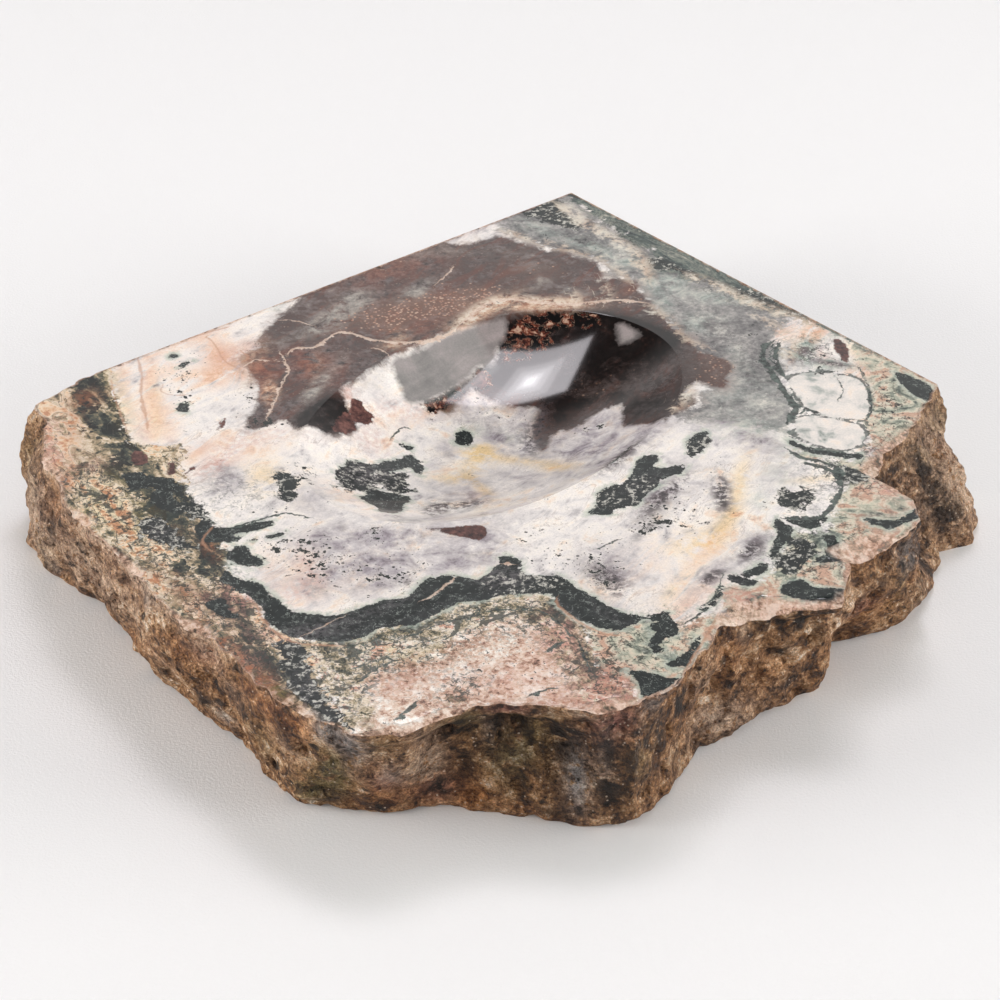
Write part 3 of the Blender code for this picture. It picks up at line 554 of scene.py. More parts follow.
# Pale patches on the wall. The broad ones at 186, 200, 212 (height 20), 345 and 362 degrees are
# partly the stone's tan and partly painted light that brightens the left and right flanks. The rest
# are pale stone.
WALL_PALE_AND_LIT = (
    (186, 14, 6, 12, 0, 1.0), (200, 14, 7, 9, 0, 0.9), (212, 20, 7, 8, 0, 0.7),
    (345, 14, 6, 12, 0, 0.4), (362, 16, 8, 14, 0, 0.9), (212, 30.5, 30, 1.6, 0, 0.8),
    (190.5, 20, 0.8, 8, 0, 0.6), (196, 26, 3, 3, 0, 0.5), (208, 12, 4, 5, 0, 0.35),
    (219, 20, 3, 5, 0, 0.35), (224, 12, 3, 4, 0, 0.3), (234, 28, 3, 3, 0, 0.6),
    (238, 22, 3, 5, 0, 0.4), (248, 17, 2, 3, 0, 0.5), (262, 14, 1.8, 5, 0, 1.2),
    (262.5, 24, 1.6, 7, 0, 0.6), (279, 30, 2, 1.6, 0, 0.6), (300, 6, 6, 4, 0, 0.7),
    (298, 18, 0.8, 2, 0, 0.8), (303.5, 27, 1.0, 3, 0, 0.7), (296, 20, 3, 6, 0, 0.4),
    (320, 24, 3, 5, 0, 0.6), (324, 18, 2, 4, 0, 0.4), (350, 12, 4, 1.6, 0, 0.7),
    (341, 26, 3, 5, 0, 0.4), (360, 28, 3, 3, 0, 0.3), (204, 28, 3, 2.4, 0, 0.4),
    (216, 28, 4, 2.4, 0, 0.4), (226, 29, 4, 2, 0, 0.3), (364, 16, 3, 5, 0, 0.4),
)
WALL_GREY = (
    (278.2, 12, 1.3, 9, 0, 1.0), (281, 18, 1.0, 8, 0, 0.5), (222, 29, 2, 2, 0, 0.6),
    (255.5, 26, 1.6, 7, 0, 0.9), (253, 29, 1.4, 3, 0, 0.9), (235, 8, 1.6, 3, 0, 0.6),
    (333.5, 25, 2.4, 5, 0, 0.8), (348, 9, 2, 5, 0, 0.5), (191, 4, 1.2, 3, 0, 0.6),
    (299, 7, 3, 3, 0, 0.4), (286.5, 29, 1.6, 3, 0, 0.7), (187, 12, 2, 6, 0, 0.2),
    (259, 14, 1.2, 6, 0, 0.5), (269, 22, 1.2, 6, 0, 0.4),
)
WALL_RUST = (
    (260.5, 9, 3.4, 5, 20, 1.1), (266, 5, 3, 4, 0, 0.8),
    (195, 24, 3, 5, 0, 0.8), (213, 26, 3, 4, 0, 0.5), (214, 7, 3, 2, 0, 0.7),
    (230, 24, 3, 3, 0, 0.5), (244, 27, 4, 5, 0, 0.9), (250, 27, 2, 4, 0, 0.6),
    (258, 8, 2, 3, 0, 0.9), (255, 4, 2, 2, 0, 0.6), (273, 3, 4, 1.6, 0, 0.8),
    (291, 27, 2, 3, 0, 0.9), (287, 12, 1.4, 8, 0, 0.4), (301, 22, 3, 5, 0, 0.7),
    (293, 14, 2, 6, 0, 0.4), (308, 14, 3, 4, 0, 0.4), (326, 14, 2.4, 4, 0, 0.9),
    (331, 12, 3, 6, 0, 0.5), (361, 20, 2, 8, 0, 0.5), (222, 14, 4, 4, 0, 0.3),
    (201, 10, 3, 4, 0, 0.3), (338, 18, 4, 5, 0, 0.4), (266, 4, 3, 3, 0, 0.5),
)
WALL_OLIVE = (
    (253, 15, 2, 9, 0, 0.9), (250, 8, 2, 5, 0, 0.8), (189, 6, 2, 5, 0, 0.6),
    (266, 26, 3, 5, 0, 0.7), (271, 14, 3, 7, 0, 0.6), (274, 22, 3, 7, 0, 0.5),
    (332, 16, 2, 8, 0, 0.6), (357.5, 24, 1.6, 4, 0, 0.5), (362, 27, 3, 3, 0, 0.6),
    (368, 24, 4, 5, 0, 0.6), (181, 20, 5, 8, 0, 0.5), (285, 17, 2, 6, 0, 0.4),
    (243, 14, 3, 6, 0, 0.3), (258, 26, 2, 4, 0, 0.4), (347, 22, 3, 4, 0, 0.5),
)
WALL_RED = (
    (282, 27, 2.6, 4.5, 0, 1.0), (263, 6, 2.2, 4, 0, 0.8), (234, 26, 2.5, 3, 0, 0.5),
    (258, 13, 1.2, 5, 0, 0.5), (271, 30, 3, 1.5, 0, 0.9), (326, 16, 1.6, 3, 0, 0.5),
    (217, 29, 4, 1.6, 0, 0.4), (206, 29, 3, 1.4, 0, 0.4), (198, 30, 3, 1.4, 0, 0.4),
)


class Surface(Enum):
    """The kinds of surface on the stone, in the order of its material slots."""

    POLISHED = 0
    BROKEN = 1
    SAWN = 2


def linear(colour: Colour) -> tuple[float, float, float, float]:
    """Turn a 0 to 255 display colour into the linear one that shaders take.

    Args:
        colour: Red, green and blue as a screen shows them.

    Returns:
        Linear red, green, blue and an alpha of one.
    """
    parts = [value / 255 for value in colour]
    low = [value / 12.92 for value in parts]
    high = [((value + 0.055) / 1.055) ** 2.4 for value in parts]
    return (*[a if p <= 0.04045 else b for p, a, b in zip(parts, low, high)], 1.0)


def lattice_value(cell: tuple[Array, Array, Array], pattern: int) -> Array:
    """Give a repeatable value from -1 to 1 to each whole-numbered cell corner.

    The large odd numbers only scramble the bits of the corner's place.

    Args:
        cell: Whole-numbered x, y and z of the corners.
        pattern: Number of the pattern, so that layers differ.

    Returns:
        One value for each corner.
    """
    mixed = cell[0] * 374761393 + cell[1] * 668265263 + cell[2] * 1103515245
    mixed = (mixed + pattern * 974634777) & 0xFFFFFFFF
    mixed = ((mixed ^ (mixed >> 13)) * 1274126177) & 0xFFFFFFFF
    return ((mixed ^ (mixed >> 16)) & 0xFFFF) / 32767.5 - 1.0


def soft_noise(x: Array, y: Array, z: Array, pattern: int) -> Array:
    """Smooth noise from -1 to 1: corner values blended across each unit cell.

    Args:
        x: Place along x, in cells.
        y: Place along y, in cells.
        z: Place along z, in cells.
        pattern: Number of the pattern.

    Returns:
        The noise at each place.
    """
    corner = [np.floor(axis).astype(np.int64) for axis in (x, y, z)]
    part = [axis - low for axis, low in zip((x, y, z), corner)]
    part = [p * p * (3.0 - 2.0 * p) for p in part]
    total = np.zeros_like(x)
    for i in (0, 1):
        for j in (0, 1):
            for k in (0, 1):
                weight = part[0] if i else 1 - part[0]
                weight = weight * (part[1] if j else 1 - part[1])
                weight = weight * (part[2] if k else 1 - part[2])
                at = (corner[0] + i, corner[1] + j, corner[2] + k)
                total = total + weight * lattice_value(at, pattern)
    return total


def outline_radius(outline: Points, angle: Array) -> Array:
    """Distance of an outline from the middle, joined straight in polar terms.

    Args:
        outline: Corner points, in millimetres.
        angle: Directions, in degrees.

    Returns:
        The distance at each direction, in millimetres.
    """
    x, y = np.array(outline, dtype=float).T
    degrees = np.degrees(np.arctan2(y, x)) % 360
    order = np.argsort(degrees)
    return np.interp(angle, degrees[order], np.hypot(x, y)[order], period=360)


def smooth_line(points: Points, closed: bool, steps: int = 3) -> Array:
    """Run a Catmull-Rom curve through points.

    Each stretch is the cubic (2b + (c - a)t + (2a - 5b + 4c - d)t^2
    + (3b - a - 3c + d)t^3) / 2 of its four nearest points.

    Args:
        points: The points to pass through.
        closed: Whether the curve comes back to its start.
        steps: How many parts each stretch is split into.

    Returns:
        The curve as rows of x and y.
    """
    p = np.array(points, dtype=float)
    if closed:
        a, b, c, d = (np.roll(p, shift, axis=0) for shift in (1, 0, -1, -2))
    else:
        wide = np.vstack([2 * p[0] - p[1], p, 2 * p[-1] - p[-2]])
        a, b, c, d = wide[:-3], wide[1:-2], wide[2:-1], wide[3:]
    t = (np.arange(steps) / steps)[None, :, None]
    a, b, c, d = (q[:, None, :] for q in (a, b, c, d))
    curve = 2 * b + (c - a) * t + (2 * a - 5 * b + 4 * c - d) * t ** 2
    curve = (curve + (3 * b - a - 3 * c + d) * t ** 3) / 2
    curve = curve.reshape(-1, 2)
    return curve if closed else np.vstack([curve, p[-1]])


def segment_distance(x: Array, y: Array, start: Array, end: Array) -> tuple[Array, Array, Array]:
    """Measure from places to one straight segment.

    Args:
        x: Place along x.
        y: Place along y.
        start: The segment's first point.
        end: The segment's last point.

    Returns:
        Distance, signed side (left of the segment is positive) and how far along
        the segment the nearest point is, from 0 to 1.
    """
    run = end - start
    length = max(float(run @ run), 1e-12)
    dx, dy = x - start[0], y - start[1]
    along = np.clip((dx * run[0] + dy * run[1]) / length, 0, 1)
    distance = np.hypot(dx - along * run[0], dy - along * run[1])
    return distance, np.sign(run[0] * dy - run[1] * dx), along


@dataclass(frozen=True)
class PatchLayer:
    """Closed patches of one mineral, stored as a distance from their edge."""

    name: str
    outlines: tuple[Points, ...]
    reach: float = 6.0

    def field(self, x: Array, y: Array) -> Array:
        """Distance to the nearest patch edge, positive inside, clamped to the reach.

        A place is inside where a ray from it crosses the outline an odd number
        of times.

        Args:
            x: Places along x, in millimetres.
            y: Places along y, in millimetres.

        Returns:
            The signed distance at each place, in millimetres.
        """
        result = np.full_like(x, -self.reach)
        for outline in self.outlines:
            curve = smooth_line(outline, closed=True)
            low, high = curve.min(0) - self.reach, curve.max(0) + self.reach
            near = (x > low[0]) & (x < high[0]) & (y > low[1]) & (y < high[1])
            px, py = x[near], y[near]
            gap = np.full_like(px, self.reach)
            inside = np.zeros(px.shape, dtype=bool)
            for start, end in zip(curve, np.roll(curve, -1, axis=0)):
                gap = np.minimum(gap, segment_distance(px, py, start, end)[0])
                if start[1] != end[1]:
                    crosses = (start[1] > py) != (end[1] > py)
                    slope = (end[0] - start[0]) / (end[1] - start[1])
                    inside ^= crosses & (px < start[0] + (py - start[1]) * slope)
            result[near] = np.maximum(result[near], np.where(inside, gap, -gap))
        return result

    def write(self, surface: "PatternedSurface") -> None:
        """Store the layer on a surface as one attribute."""
        surface.store(self.name, self.field(surface.u, surface.v))


@dataclass(frozen=True)
class LineLayer:
    """Thin lines of one mineral, stored as side distance and half width.

    The width shrinks away from a line, so the surface shows it only where the
    side distance truly passes through zero.
    """

    name: str
    lines: tuple[tuple[float, Points], ...]
    reach: float = 6.0
    core: float = 1.3
    taper_rate: float = 8.0
    end_share: float = 0.25

    def field(self, x: Array, y: Array) -> tuple[Array, Array]:
        """Find the nearest line at each place.

        Args:
            x: Places along x, in millimetres.
            y: Places along y, in millimetres.

        Returns:
            Signed distance across the line, and the half width left there.
        """
        side = np.full_like(x, self.reach)
        width = np.full_like(x, -self.reach)
        for half_width, points in self.lines:
            curve = smooth_line(points, closed=False)
            low, high = curve.min(0) - self.reach, curve.max(0) + self.reach
            near = (x > low[0]) & (x < high[0]) & (y > low[1]) & (y < high[1])
            px, py = x[near], y[near]
            best = np.full_like(px, self.reach)
            signed = np.full_like(px, self.reach)
            part = np.zeros_like(px)
            count = len(curve) - 1
            for index, (start, end) in enumerate(zip(curve, curve[1:])):
                gap, hand, along = segment_distance(px, py, start, end)
                closer = gap < best
                best = np.where(closer, gap, best)
                signed = np.where(closer, gap * hand, signed)
                part = np.where(closer, (index + along) / count, part)
            inward = np.minimum(part, 1 - part) * self.taper_rate + self.end_share
            left = half_width * np.clip(inward, 0, 1) - np.maximum(0, best - self.core)
            wins = left > width[near]
            side[near] = np.where(wins, signed, side[near])
            width[near] = np.where(wins, left, width[near])
        return side, width

    def write(self, surface: "PatternedSurface") -> None:
        """Store the layer on a surface as two attributes."""
        side, width = self.field(surface.u, surface.v)
        surface.store(self.name + "_side", side)
        surface.store(self.name + "_width", width)


@dataclass(frozen=True)
class StainLayer:
    """Soft oval stains that add up, from 0 to 1.

    On the wall they are placed by direction in degrees and height in millimetres.
    """

    name: str
    stains: tuple[tuple[float, ...], ...]
    on_wall: bool = False

    def field(self, x: Array, y: Array) -> Array:
        """Add the stains: each is its strength times exp(-(a^2 + b^2)).

        Args:
            x: Places along x, in millimetres.
            y: Places along y, in millimetres.

        Returns:
            The strength at each place.
        """
        total = np.zeros_like(x)
        for cx, cy, length, width, turn, strength in self.stains:
            c, s = math.cos(math.radians(turn)), math.sin(math.radians(turn))
            a = ((x - cx) * c + (y - cy) * s) / length
            b = ((y - cy) * c - (x - cx) * s) / width
            total += strength * np.exp(-(a * a + b * b))
        return np.clip(total, 0, 1)

    def write(self, surface: "PatternedSurface") -> None:
        """Store the layer on a surface as one attribute."""
        place = (surface.angle, surface.height) if self.on_wall else (surface.u, surface.v)
        surface.store(self.name, self.field(*place))


FIGURE = (
    StainLayer("wall_dark_and_shade", WALL_DARK_AND_SHADE, on_wall=True),
    StainLayer("wall_pale", WALL_PALE_AND_LIT, on_wall=True),
    StainLayer("wall_grey", WALL_GREY, on_wall=True),
    StainLayer("wall_rust", WALL_RUST, on_wall=True),
    StainLayer("wall_olive", WALL_OLIVE, on_wall=True),
    StainLayer("wall_red", WALL_RED, on_wall=True),
    PatchLayer("chert", CHERT), PatchLayer("maroon", MAROON), PatchLayer("slate", SLATE),
    PatchLayer("crackled", CRACKLED_SLATE), PatchLayer("grey", GREY),
    PatchLayer("green", GREEN), PatchLayer("moss", MOSS),
    PatchLayer("margin", LEFT_MARGIN), PatchLayer("arch", ARCH, reach=14.0),
    PatchLayer("cells", CELLS), PatchLayer("breccia", BRECCIA),
    PatchLayer("chipped", CHIPPED), PatchLayer("panel_reflection", PAINTED_REFLECTION_PATCH),
    StainLayer("soot", SOOT),
    LineLayer("cream", CREAM_LINES), LineLayer("dark", DARK_LINES),
    LineLayer("rusty", RUST_LINES), LineLayer("vein", VEINS, core=4.0),
    StainLayer("peach", PEACH), StainLayer("yellow", YELLOW), StainLayer("lilac", LILAC),
    StainLayer("pink", PINK), StainLayer("teal", TEAL), StainLayer("rust", RUST),
    StainLayer("cloud", CLOUD), StainLayer("granules", GRANULES),
    StainLayer("specks", SPECKS), StainLayer("smoke", SMOKE),
    StainLayer("stringers", STRINGERS), StainLayer("shade", SHADE),
)


@dataclass
class PatternedSurface:
    """A mesh together with the place of each of its points in the stone's figure."""

    mesh: bpy.types.Mesh
    u: Array
    v: Array
    angle: Array
    height: Array

    def store(self, name: str, values: Array) -> None:
        """Keep one number for each point on the mesh under a name."""
        attribute = self.mesh.attributes.new(name, "FLOAT", "POINT")
        attribute.data.foreach_set("value", values.astype(np.float32).ravel())


@dataclass(frozen=True)
class OvalDish:
    """The dish ground into the top: a parabola over a slightly squared oval."""

    centre: tuple[float, float] = (-1.5, 6.5)
    half_length: float = 56.5
    half_width: float = 37.2
    depth: float = 12.0
    turn: float = 50.0
    squareness: float = 2.15
    rim_softness: float = 0.03

    def rim_reach(self, angle: Array) -> Array:
        """Rim's distance from the dish's centre: (|cos/a|^p + |sin/b|^p)^(-1/p).

        Args:
            angle: Directions, in degrees.

        Returns:
            The distance at each direction, in millimetres.
        """
        turned = np.radians(angle - self.turn)
        along = np.abs(np.cos(turned) / self.half_length) ** self.squareness
        across = np.abs(np.sin(turned) / self.half_width) ** self.squareness
        return (along + across) ** (-1 / self.squareness)

    def sink(self, x: Array, y: Array) -> Array:
        """Depth below the top: w log((1 + exp(d (1 - q^2) / w)) / 2), and never less than 0.

        The distance q is 1 at the rim, d is the dish's depth and w its rim's softness.

        Args:
            x: Places along x, in millimetres.
            y: Places along y, in millimetres.

        Returns:
            How far the surface lies below the flat top, in millimetres.
        """
        dx, dy = x - self.centre[0], y - self.centre[1]
        angle = np.degrees(np.arctan2(dy, dx))
        ratio = np.hypot(dx, dy) / self.rim_reach(angle)
        bowl = self.depth * (1 - ratio ** 2) / self.rim_softness
        shift = self.rim_softness * np.logaddexp(0, 0)
        return np.maximum(self.rim_softness * np.logaddexp(0, np.maximum(bowl, -30)) - shift, 0)


@dataclass(frozen=True)
class BrokenWall:
    """The wall round the slab: broken stone, trimmed by two straight saw cuts."""

    height: float
    foot_rounding: float = 1.6
    pit_size: float = 3.8
    pit_depth: float = 1.8
    pit_pattern: int = 71
    pit_start: float = 0.35
    pit_spread: float = 0.4
    top_fade: float = 0.14
    foot_fade: float = 0.10
    foot_zone: float = 0.05
    least_cosine: float = 0.05

    def ledges(self, angle: Array, z: Array, radius: Array) -> Array:
        """Depth of single ledges and pits: each is amount * exp(-a^2 - h^2).

        Args:
            angle: Directions, in degrees.
            z: Heights, in millimetres.
            radius: Distance from the middle, in millimetres.

        Returns:
            How far the wall is cut in, in millimetres.
        """
        depth = np.zeros_like(radius)
        for centre, middle, half_width, half_height, amount in LEDGES:
            turn = (angle - centre + 180) % 360 - 180
            across = np.radians(turn) * radius / half_width
            depth += amount * np.exp(-across ** 2 - ((z - middle) / half_height) ** 2)
        return depth

    def rough_radius(self, angle: Array, z: Array) -> Array:
        """Distance of the broken stone from the middle, before the saw cuts.

        It blends the foot's outline into the top's, swells by sin(pi level), and
        adds lumps, ledges, fine grain and pits.

        Args:
            angle: Directions, in degrees.
            z: Heights, in millimetres.

        Returns:
            The distance, in millimetres.
        """
        level = z / self.height
        foot = outline_radius(FOOT_OUTLINE, angle)
        top = outline_radius(TOP_OUTLINE, angle)
        belly = np.interp(angle, *np.array(BELLY).T, period=360)
        radius = foot + (top - foot) * level + belly * np.sin(np.pi * level)
        fade = np.clip((1 - level) / self.top_fade, 0.25, 1)
        fade = fade * np.clip(level / self.foot_fade, 0.5, 1)
        x = radius * np.cos(np.radians(angle))
        y = radius * np.sin(np.radians(angle))
        for size, amount, pattern in LUMPS:
            radius = radius + amount * fade * soft_noise(x / size, y / size, z / size, pattern)
        radius = radius - self.ledges(angle, z, radius) * fade
        for size, amount, pattern in GRAIN_LUMPS:
            radius = radius + amount * soft_noise(x / size, y / size, z / size, pattern)
        pit = soft_noise(x / self.pit_size, y / self.pit_size, z / self.pit_size, self.pit_pattern)
        sunk = np.clip((pit - self.pit_start) / self.pit_spread, 0, 1)
        radius = radius - self.pit_depth * fade * sunk
        return radius - self.foot_rounding * np.clip(1 - level / self.foot_zone, 0, 1)

    def radius(self, angle: Array, z: Array) -> tuple[Array, Array]:
        """Distance of the finished wall from the middle.

        A saw cut that faces phi at distance d lies at d / cos(angle - phi).

        Args:
            angle: Directions, in degrees.
            z: Heights, in millimetres.

        Returns:
            The distance in millimetres, and whether the saw has cut there.
        """
        radius = self.rough_radius(angle, z)
        sawn = np.zeros(radius.shape, dtype=bool)
        for facing, distance in SAW_CUTS:
            ahead = np.cos(np.radians(angle - facing))
            reach = distance / np.maximum(ahead, self.least_cosine)
            cut = np.where(ahead > self.least_cosine, reach, np.inf)
            sawn |= cut < radius
            radius = np.minimum(radius, cut)
        return radius, sawn


@dataclass(frozen=True)
class RingGrid:
    """Points of the whole stone, one row for each ring and one column an angle."""

    x: Array
    y: Array
    z: Array
    u: Array
    v: Array
    kind: Array
    gap: Array
    drop: Array


@dataclass
class JasperSlab:
    """The stone: its form as one closed surface, its figure and its finishes."""

    name: str = "jasper_slab"
    angles: int = 640
    dish_rings: int = 36
    flat_rings: int = 48
    edge_rings: int = 5
    wall_rings: int = 36
    under_rings: int = 7
    rim_steps: tuple[float, ...] = (-2.1, -1.4, -0.9, -0.5, -0.2, 0.0, 0.2, 0.5, 0.9, 1.5, 2.3)
    edge_rounding: float = 0.35
    sawn_rounding: float = 0.3
    wear_span: float = 2.6
    wear_pattern: int = 91
    dish_share: float = 0.935
    figure_drift: tuple[float, float] = (0.16, -0.1)
    figure_shrink: float = 0.0035
    far_in: float = 30.0
    seam: float = 20.0
    crease: float = 40.0
    dish: OvalDish = field(default_factory=OvalDish)

    def directions(self) -> Array:
        """Lay out evenly spaced directions, one of them at the sawn corner.

        Returns:
            The directions, in degrees.
        """
        (first, near), (second, far) = SAW_CUTS
        a, b = math.radians(first), math.radians(second)
        corner = np.linalg.solve([[math.cos(a), math.sin(a)], [math.cos(b), math.sin(b)]],
                                 [near, far])
        start = math.degrees(math.atan2(corner[1], corner[0]))
        return start + np.arange(self.angles) * 360.0 / self.angles

    def chip_drop(self, angle: Array, gap: Array) -> Array:
        """How far chips lower the top near its edge.

        Each chip is a ramp that falls towards the edge: drop (1 - gap / reach),
        faded sideways by exp(-(turn / half width)^4).

        Args:
            angle: Directions, in degrees.
            gap: Distance in from the edge, in millimetres.

        Returns:
            The drop, in millimetres.
        """
        drop = np.zeros(np.broadcast(angle, gap).shape)
        for centre, half_width, reach, depth in CHIPS:
            turn = (angle - centre + 180) % 360 - 180
            fade = np.exp(-(turn / half_width) ** 4)
            drop = np.maximum(drop, depth * fade * np.clip(1 - gap / reach, 0, 1))
        return drop

    def top_rows(self, angle: Array, edge: Array, height: float) -> tuple[Array, Array, Array]:
        """Rings of the dish, its rim and the flat top, out to the start of the edge.

        Args:
            angle: Directions, in degrees.
            edge: Distance of the top's edge from the middle at each direction.
            height: Height of the top.

        Returns:
            x, y and z of the points, in millimetres.
        """
        c, s = np.cos(np.radians(angle)), np.sin(np.radians(angle))
        rim = self.dish.rim_reach(angle)
        inner = np.linspace(0, self.dish_share, self.dish_rings + 1)[1:, None] * rim
        brink = rim + np.array(self.rim_steps)[:, None]
        reach = np.vstack([inner, brink])
        x = self.dish.centre[0] + reach * c
        y = self.dish.centre[1] + reach * s
        share = (np.arange(1, self.flat_rings + 1) / self.flat_rings)[:, None]
        x = np.vstack([x, x[-1] + (edge * c - x[-1]) * share])
        y = np.vstack([y, y[-1] + (edge * s - y[-1]) * share])
        gap = np.maximum(edge - np.hypot(x, y), 0)
        z = height - self.dish.sink(x, y) - self.chip_drop(angle, gap)
        return x, y, z

    def grid(self, height: float) -> RingGrid:
        """Work out every ring of the stone.

        Args:
            height: Height of the flat top, in millimetres.

        Returns:
            The points, their place in the figure and the kind of surface.
        """
        wall = BrokenWall(height)
        angle = self.directions()
        c, s = np.cos(np.radians(angle)), np.sin(np.radians(angle))
        drop = self.chip_drop(angle, np.zeros_like(angle))
        brow = height - drop
        flat = np.zeros_like(angle)
        worn = 0.5 + 0.5 * soft_noise(angle / self.wear_span, flat, flat, self.wear_pattern)
        _, cut_top = wall.radius(angle, brow - 1)
        rounding = np.where(cut_top, self.sawn_rounding, self.edge_rounding * (0.6 + 1.6 * worn))
        lip, _ = wall.radius(angle, brow - rounding)
        x, y, z = self.top_rows(angle, lip - rounding, height)
        turn = np.radians(90 * np.arange(1, self.edge_rings + 1) / self.edge_rings)[:, None]
        reach = lip - rounding + rounding * np.sin(turn)
        rows_z = brow - rounding + rounding * np.cos(turn)
        polished = len(z) + 2
        down = (1 - np.arange(1, self.wall_rings + 1) / self.wall_rings)[:, None]
        wall_z = (brow - rounding) * down
        wall_reach, sawn = wall.radius(angle + 0 * wall_z, wall_z)
        reach = np.vstack([reach, wall_reach])
        z = np.vstack([z, rows_z, wall_z])
        x = np.vstack([x, reach * c])
        y = np.vstack([y, reach * s])
        share = (1 - np.arange(1, self.under_rings + 1) / (self.under_rings + 1))[:, None]
        foot_x, foot_y = x[-1], y[-1]
        x = np.vstack([x, foot_x * share])
        y = np.vstack([y, foot_y * share])
        z = np.vstack([z, 0 * share * foot_x])
        kind = np.full(z.shape, Surface.BROKEN.value)
        kind[:polished] = Surface.POLISHED.value
        body = slice(polished, len(z) - self.under_rings)
        grown = np.vstack([np.tile(cut_top, (self.edge_rings - 2, 1)), sawn])
        kind[body] = np.where(grown, Surface.SAWN.value, Surface.BROKEN.value)
        kind[len(z) - self.under_rings:] = Surface.SAWN.value
        on_top = (np.arange(len(z)) < polished)[:, None]
        depth = np.maximum(height - z, 0) * ~on_top
        shrink = 1 - self.figure_shrink * depth
        u = x * shrink + self.figure_drift[0] * depth
        v = y * shrink + self.figure_drift[1] * depth
        gap = np.where(on_top, np.clip(lip - np.hypot(x, y), 0, self.far_in), self.far_in)
        drop = self.chip_drop(angle, gap) * on_top
        return RingGrid(x, y, z, u, v, kind, gap, drop)

    def crease_rim(self, mesh: bpy.types.Mesh) -> None:
        """Mark the edges that run round the dish's rim as sharp.

        Args:
            mesh: The stone's mesh.
        """
        first = (self.dish_rings + self.rim_steps.index(0.0)) * self.angles
        ends = np.zeros(len(mesh.edges) * 2, dtype=np.int32)
        mesh.edges.foreach_get("vertices", ends)
        ends = ends.reshape(-1, 2)
        on_rim = ((ends >= first) & (ends < first + self.angles)).all(axis=1)
        sharp = np.zeros(len(mesh.edges), dtype=bool)
        attribute = mesh.attributes.get("sharp_edge")
        if attribute is None:
            attribute = mesh.attributes.new("sharp_edge", "BOOLEAN", "EDGE")
        attribute.data.foreach_get("value", sharp)
        attribute.data.foreach_set("value", sharp | on_rim)

    def faces(self, rings: int, kind: Array) -> tuple[list, Array]:
        """Join the rings into four-sided faces, and close both ends with fans.

        Args:
            rings: Number of rings.
            kind: Kind of surface at each point.

        Returns:
            The faces as lists of point numbers, and the slot of each face.
        """
        column = np.arange(self.angles)
        following = (column + 1) % self.angles
        row = np.arange(rings - 1)[:, None] * self.angles
        quads = np.stack([row + column, row + self.angles + column,
                          row + self.angles + following, row + following], axis=-1)
        top, bottom = rings * self.angles, rings * self.angles + 1
        last = (rings - 1) * self.angles
        cap = np.stack([np.full(self.angles, top), column, following], axis=-1)
        base = np.stack([last + column, np.full(self.angles, bottom), last + following], axis=-1)
        slots = np.concatenate([kind[1:].ravel(), kind[0], kind[-1]])
        return quads.reshape(-1, 4).tolist() + cap.tolist() + base.tolist(), slots

    def build(self) -> bpy.types.Object:
        """Make the stone's mesh with its figure, and put it in the scene.

        Returns:
            The finished object, at the origin.
        """
        low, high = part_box("stone_tray")
        height = high.z / MM
        grid = self.grid(height)
        x = np.append(grid.x.ravel(), [self.dish.centre[0], 0.0])
        y = np.append(grid.y.ravel(), [self.dish.centre[1], 0.0])
        z = np.append(grid.z.ravel(), [height - self.dish.depth, 0.0])
        points = np.stack([x, y, z], axis=-1) * MM
        points = np.clip(points, np.array(low), np.array(high))
        faces, slots = self.faces(len(grid.x), grid.kind)
        mesh = bpy.data.meshes.new(self.name)
        mesh.from_pydata(points.tolist(), [], faces)
        mesh.polygons.foreach_set("material_index", slots.astype(np.int32))
        mesh.shade_smooth()
        mesh.set_sharp_from_angle(angle=math.radians(self.crease))
        self.crease_rim(mesh)
        u = np.append(grid.u.ravel(), [self.dish.centre[0], 0.0])
        v = np.append(grid.v.ravel(), [self.dish.centre[1], 0.0])
        around = (np.degrees(np.arctan2(y, x)) - self.seam) % 360 + self.seam
        surface = PatternedSurface(mesh, u, v, around, z)
        surface.store("edge_gap", np.append(grid.gap.ravel(), [self.far_in, self.far_in]))
        surface.store("drop", np.append(grid.drop.ravel(), [0.0, 0.0]))
        for layer in FIGURE:
            layer.write(surface)
        stone = bpy.data.objects.new(self.name, mesh)
        bpy.context.scene.collection.objects.link(stone)
        return stone

    def dress(self, stone: bpy.types.Object) -> None:
        """Give each kind of surface its finish."""
        for finish in (PolishedJasper(), BrokenRind(), SawnJasper()):
            stone.data.materials.append(finish.material())


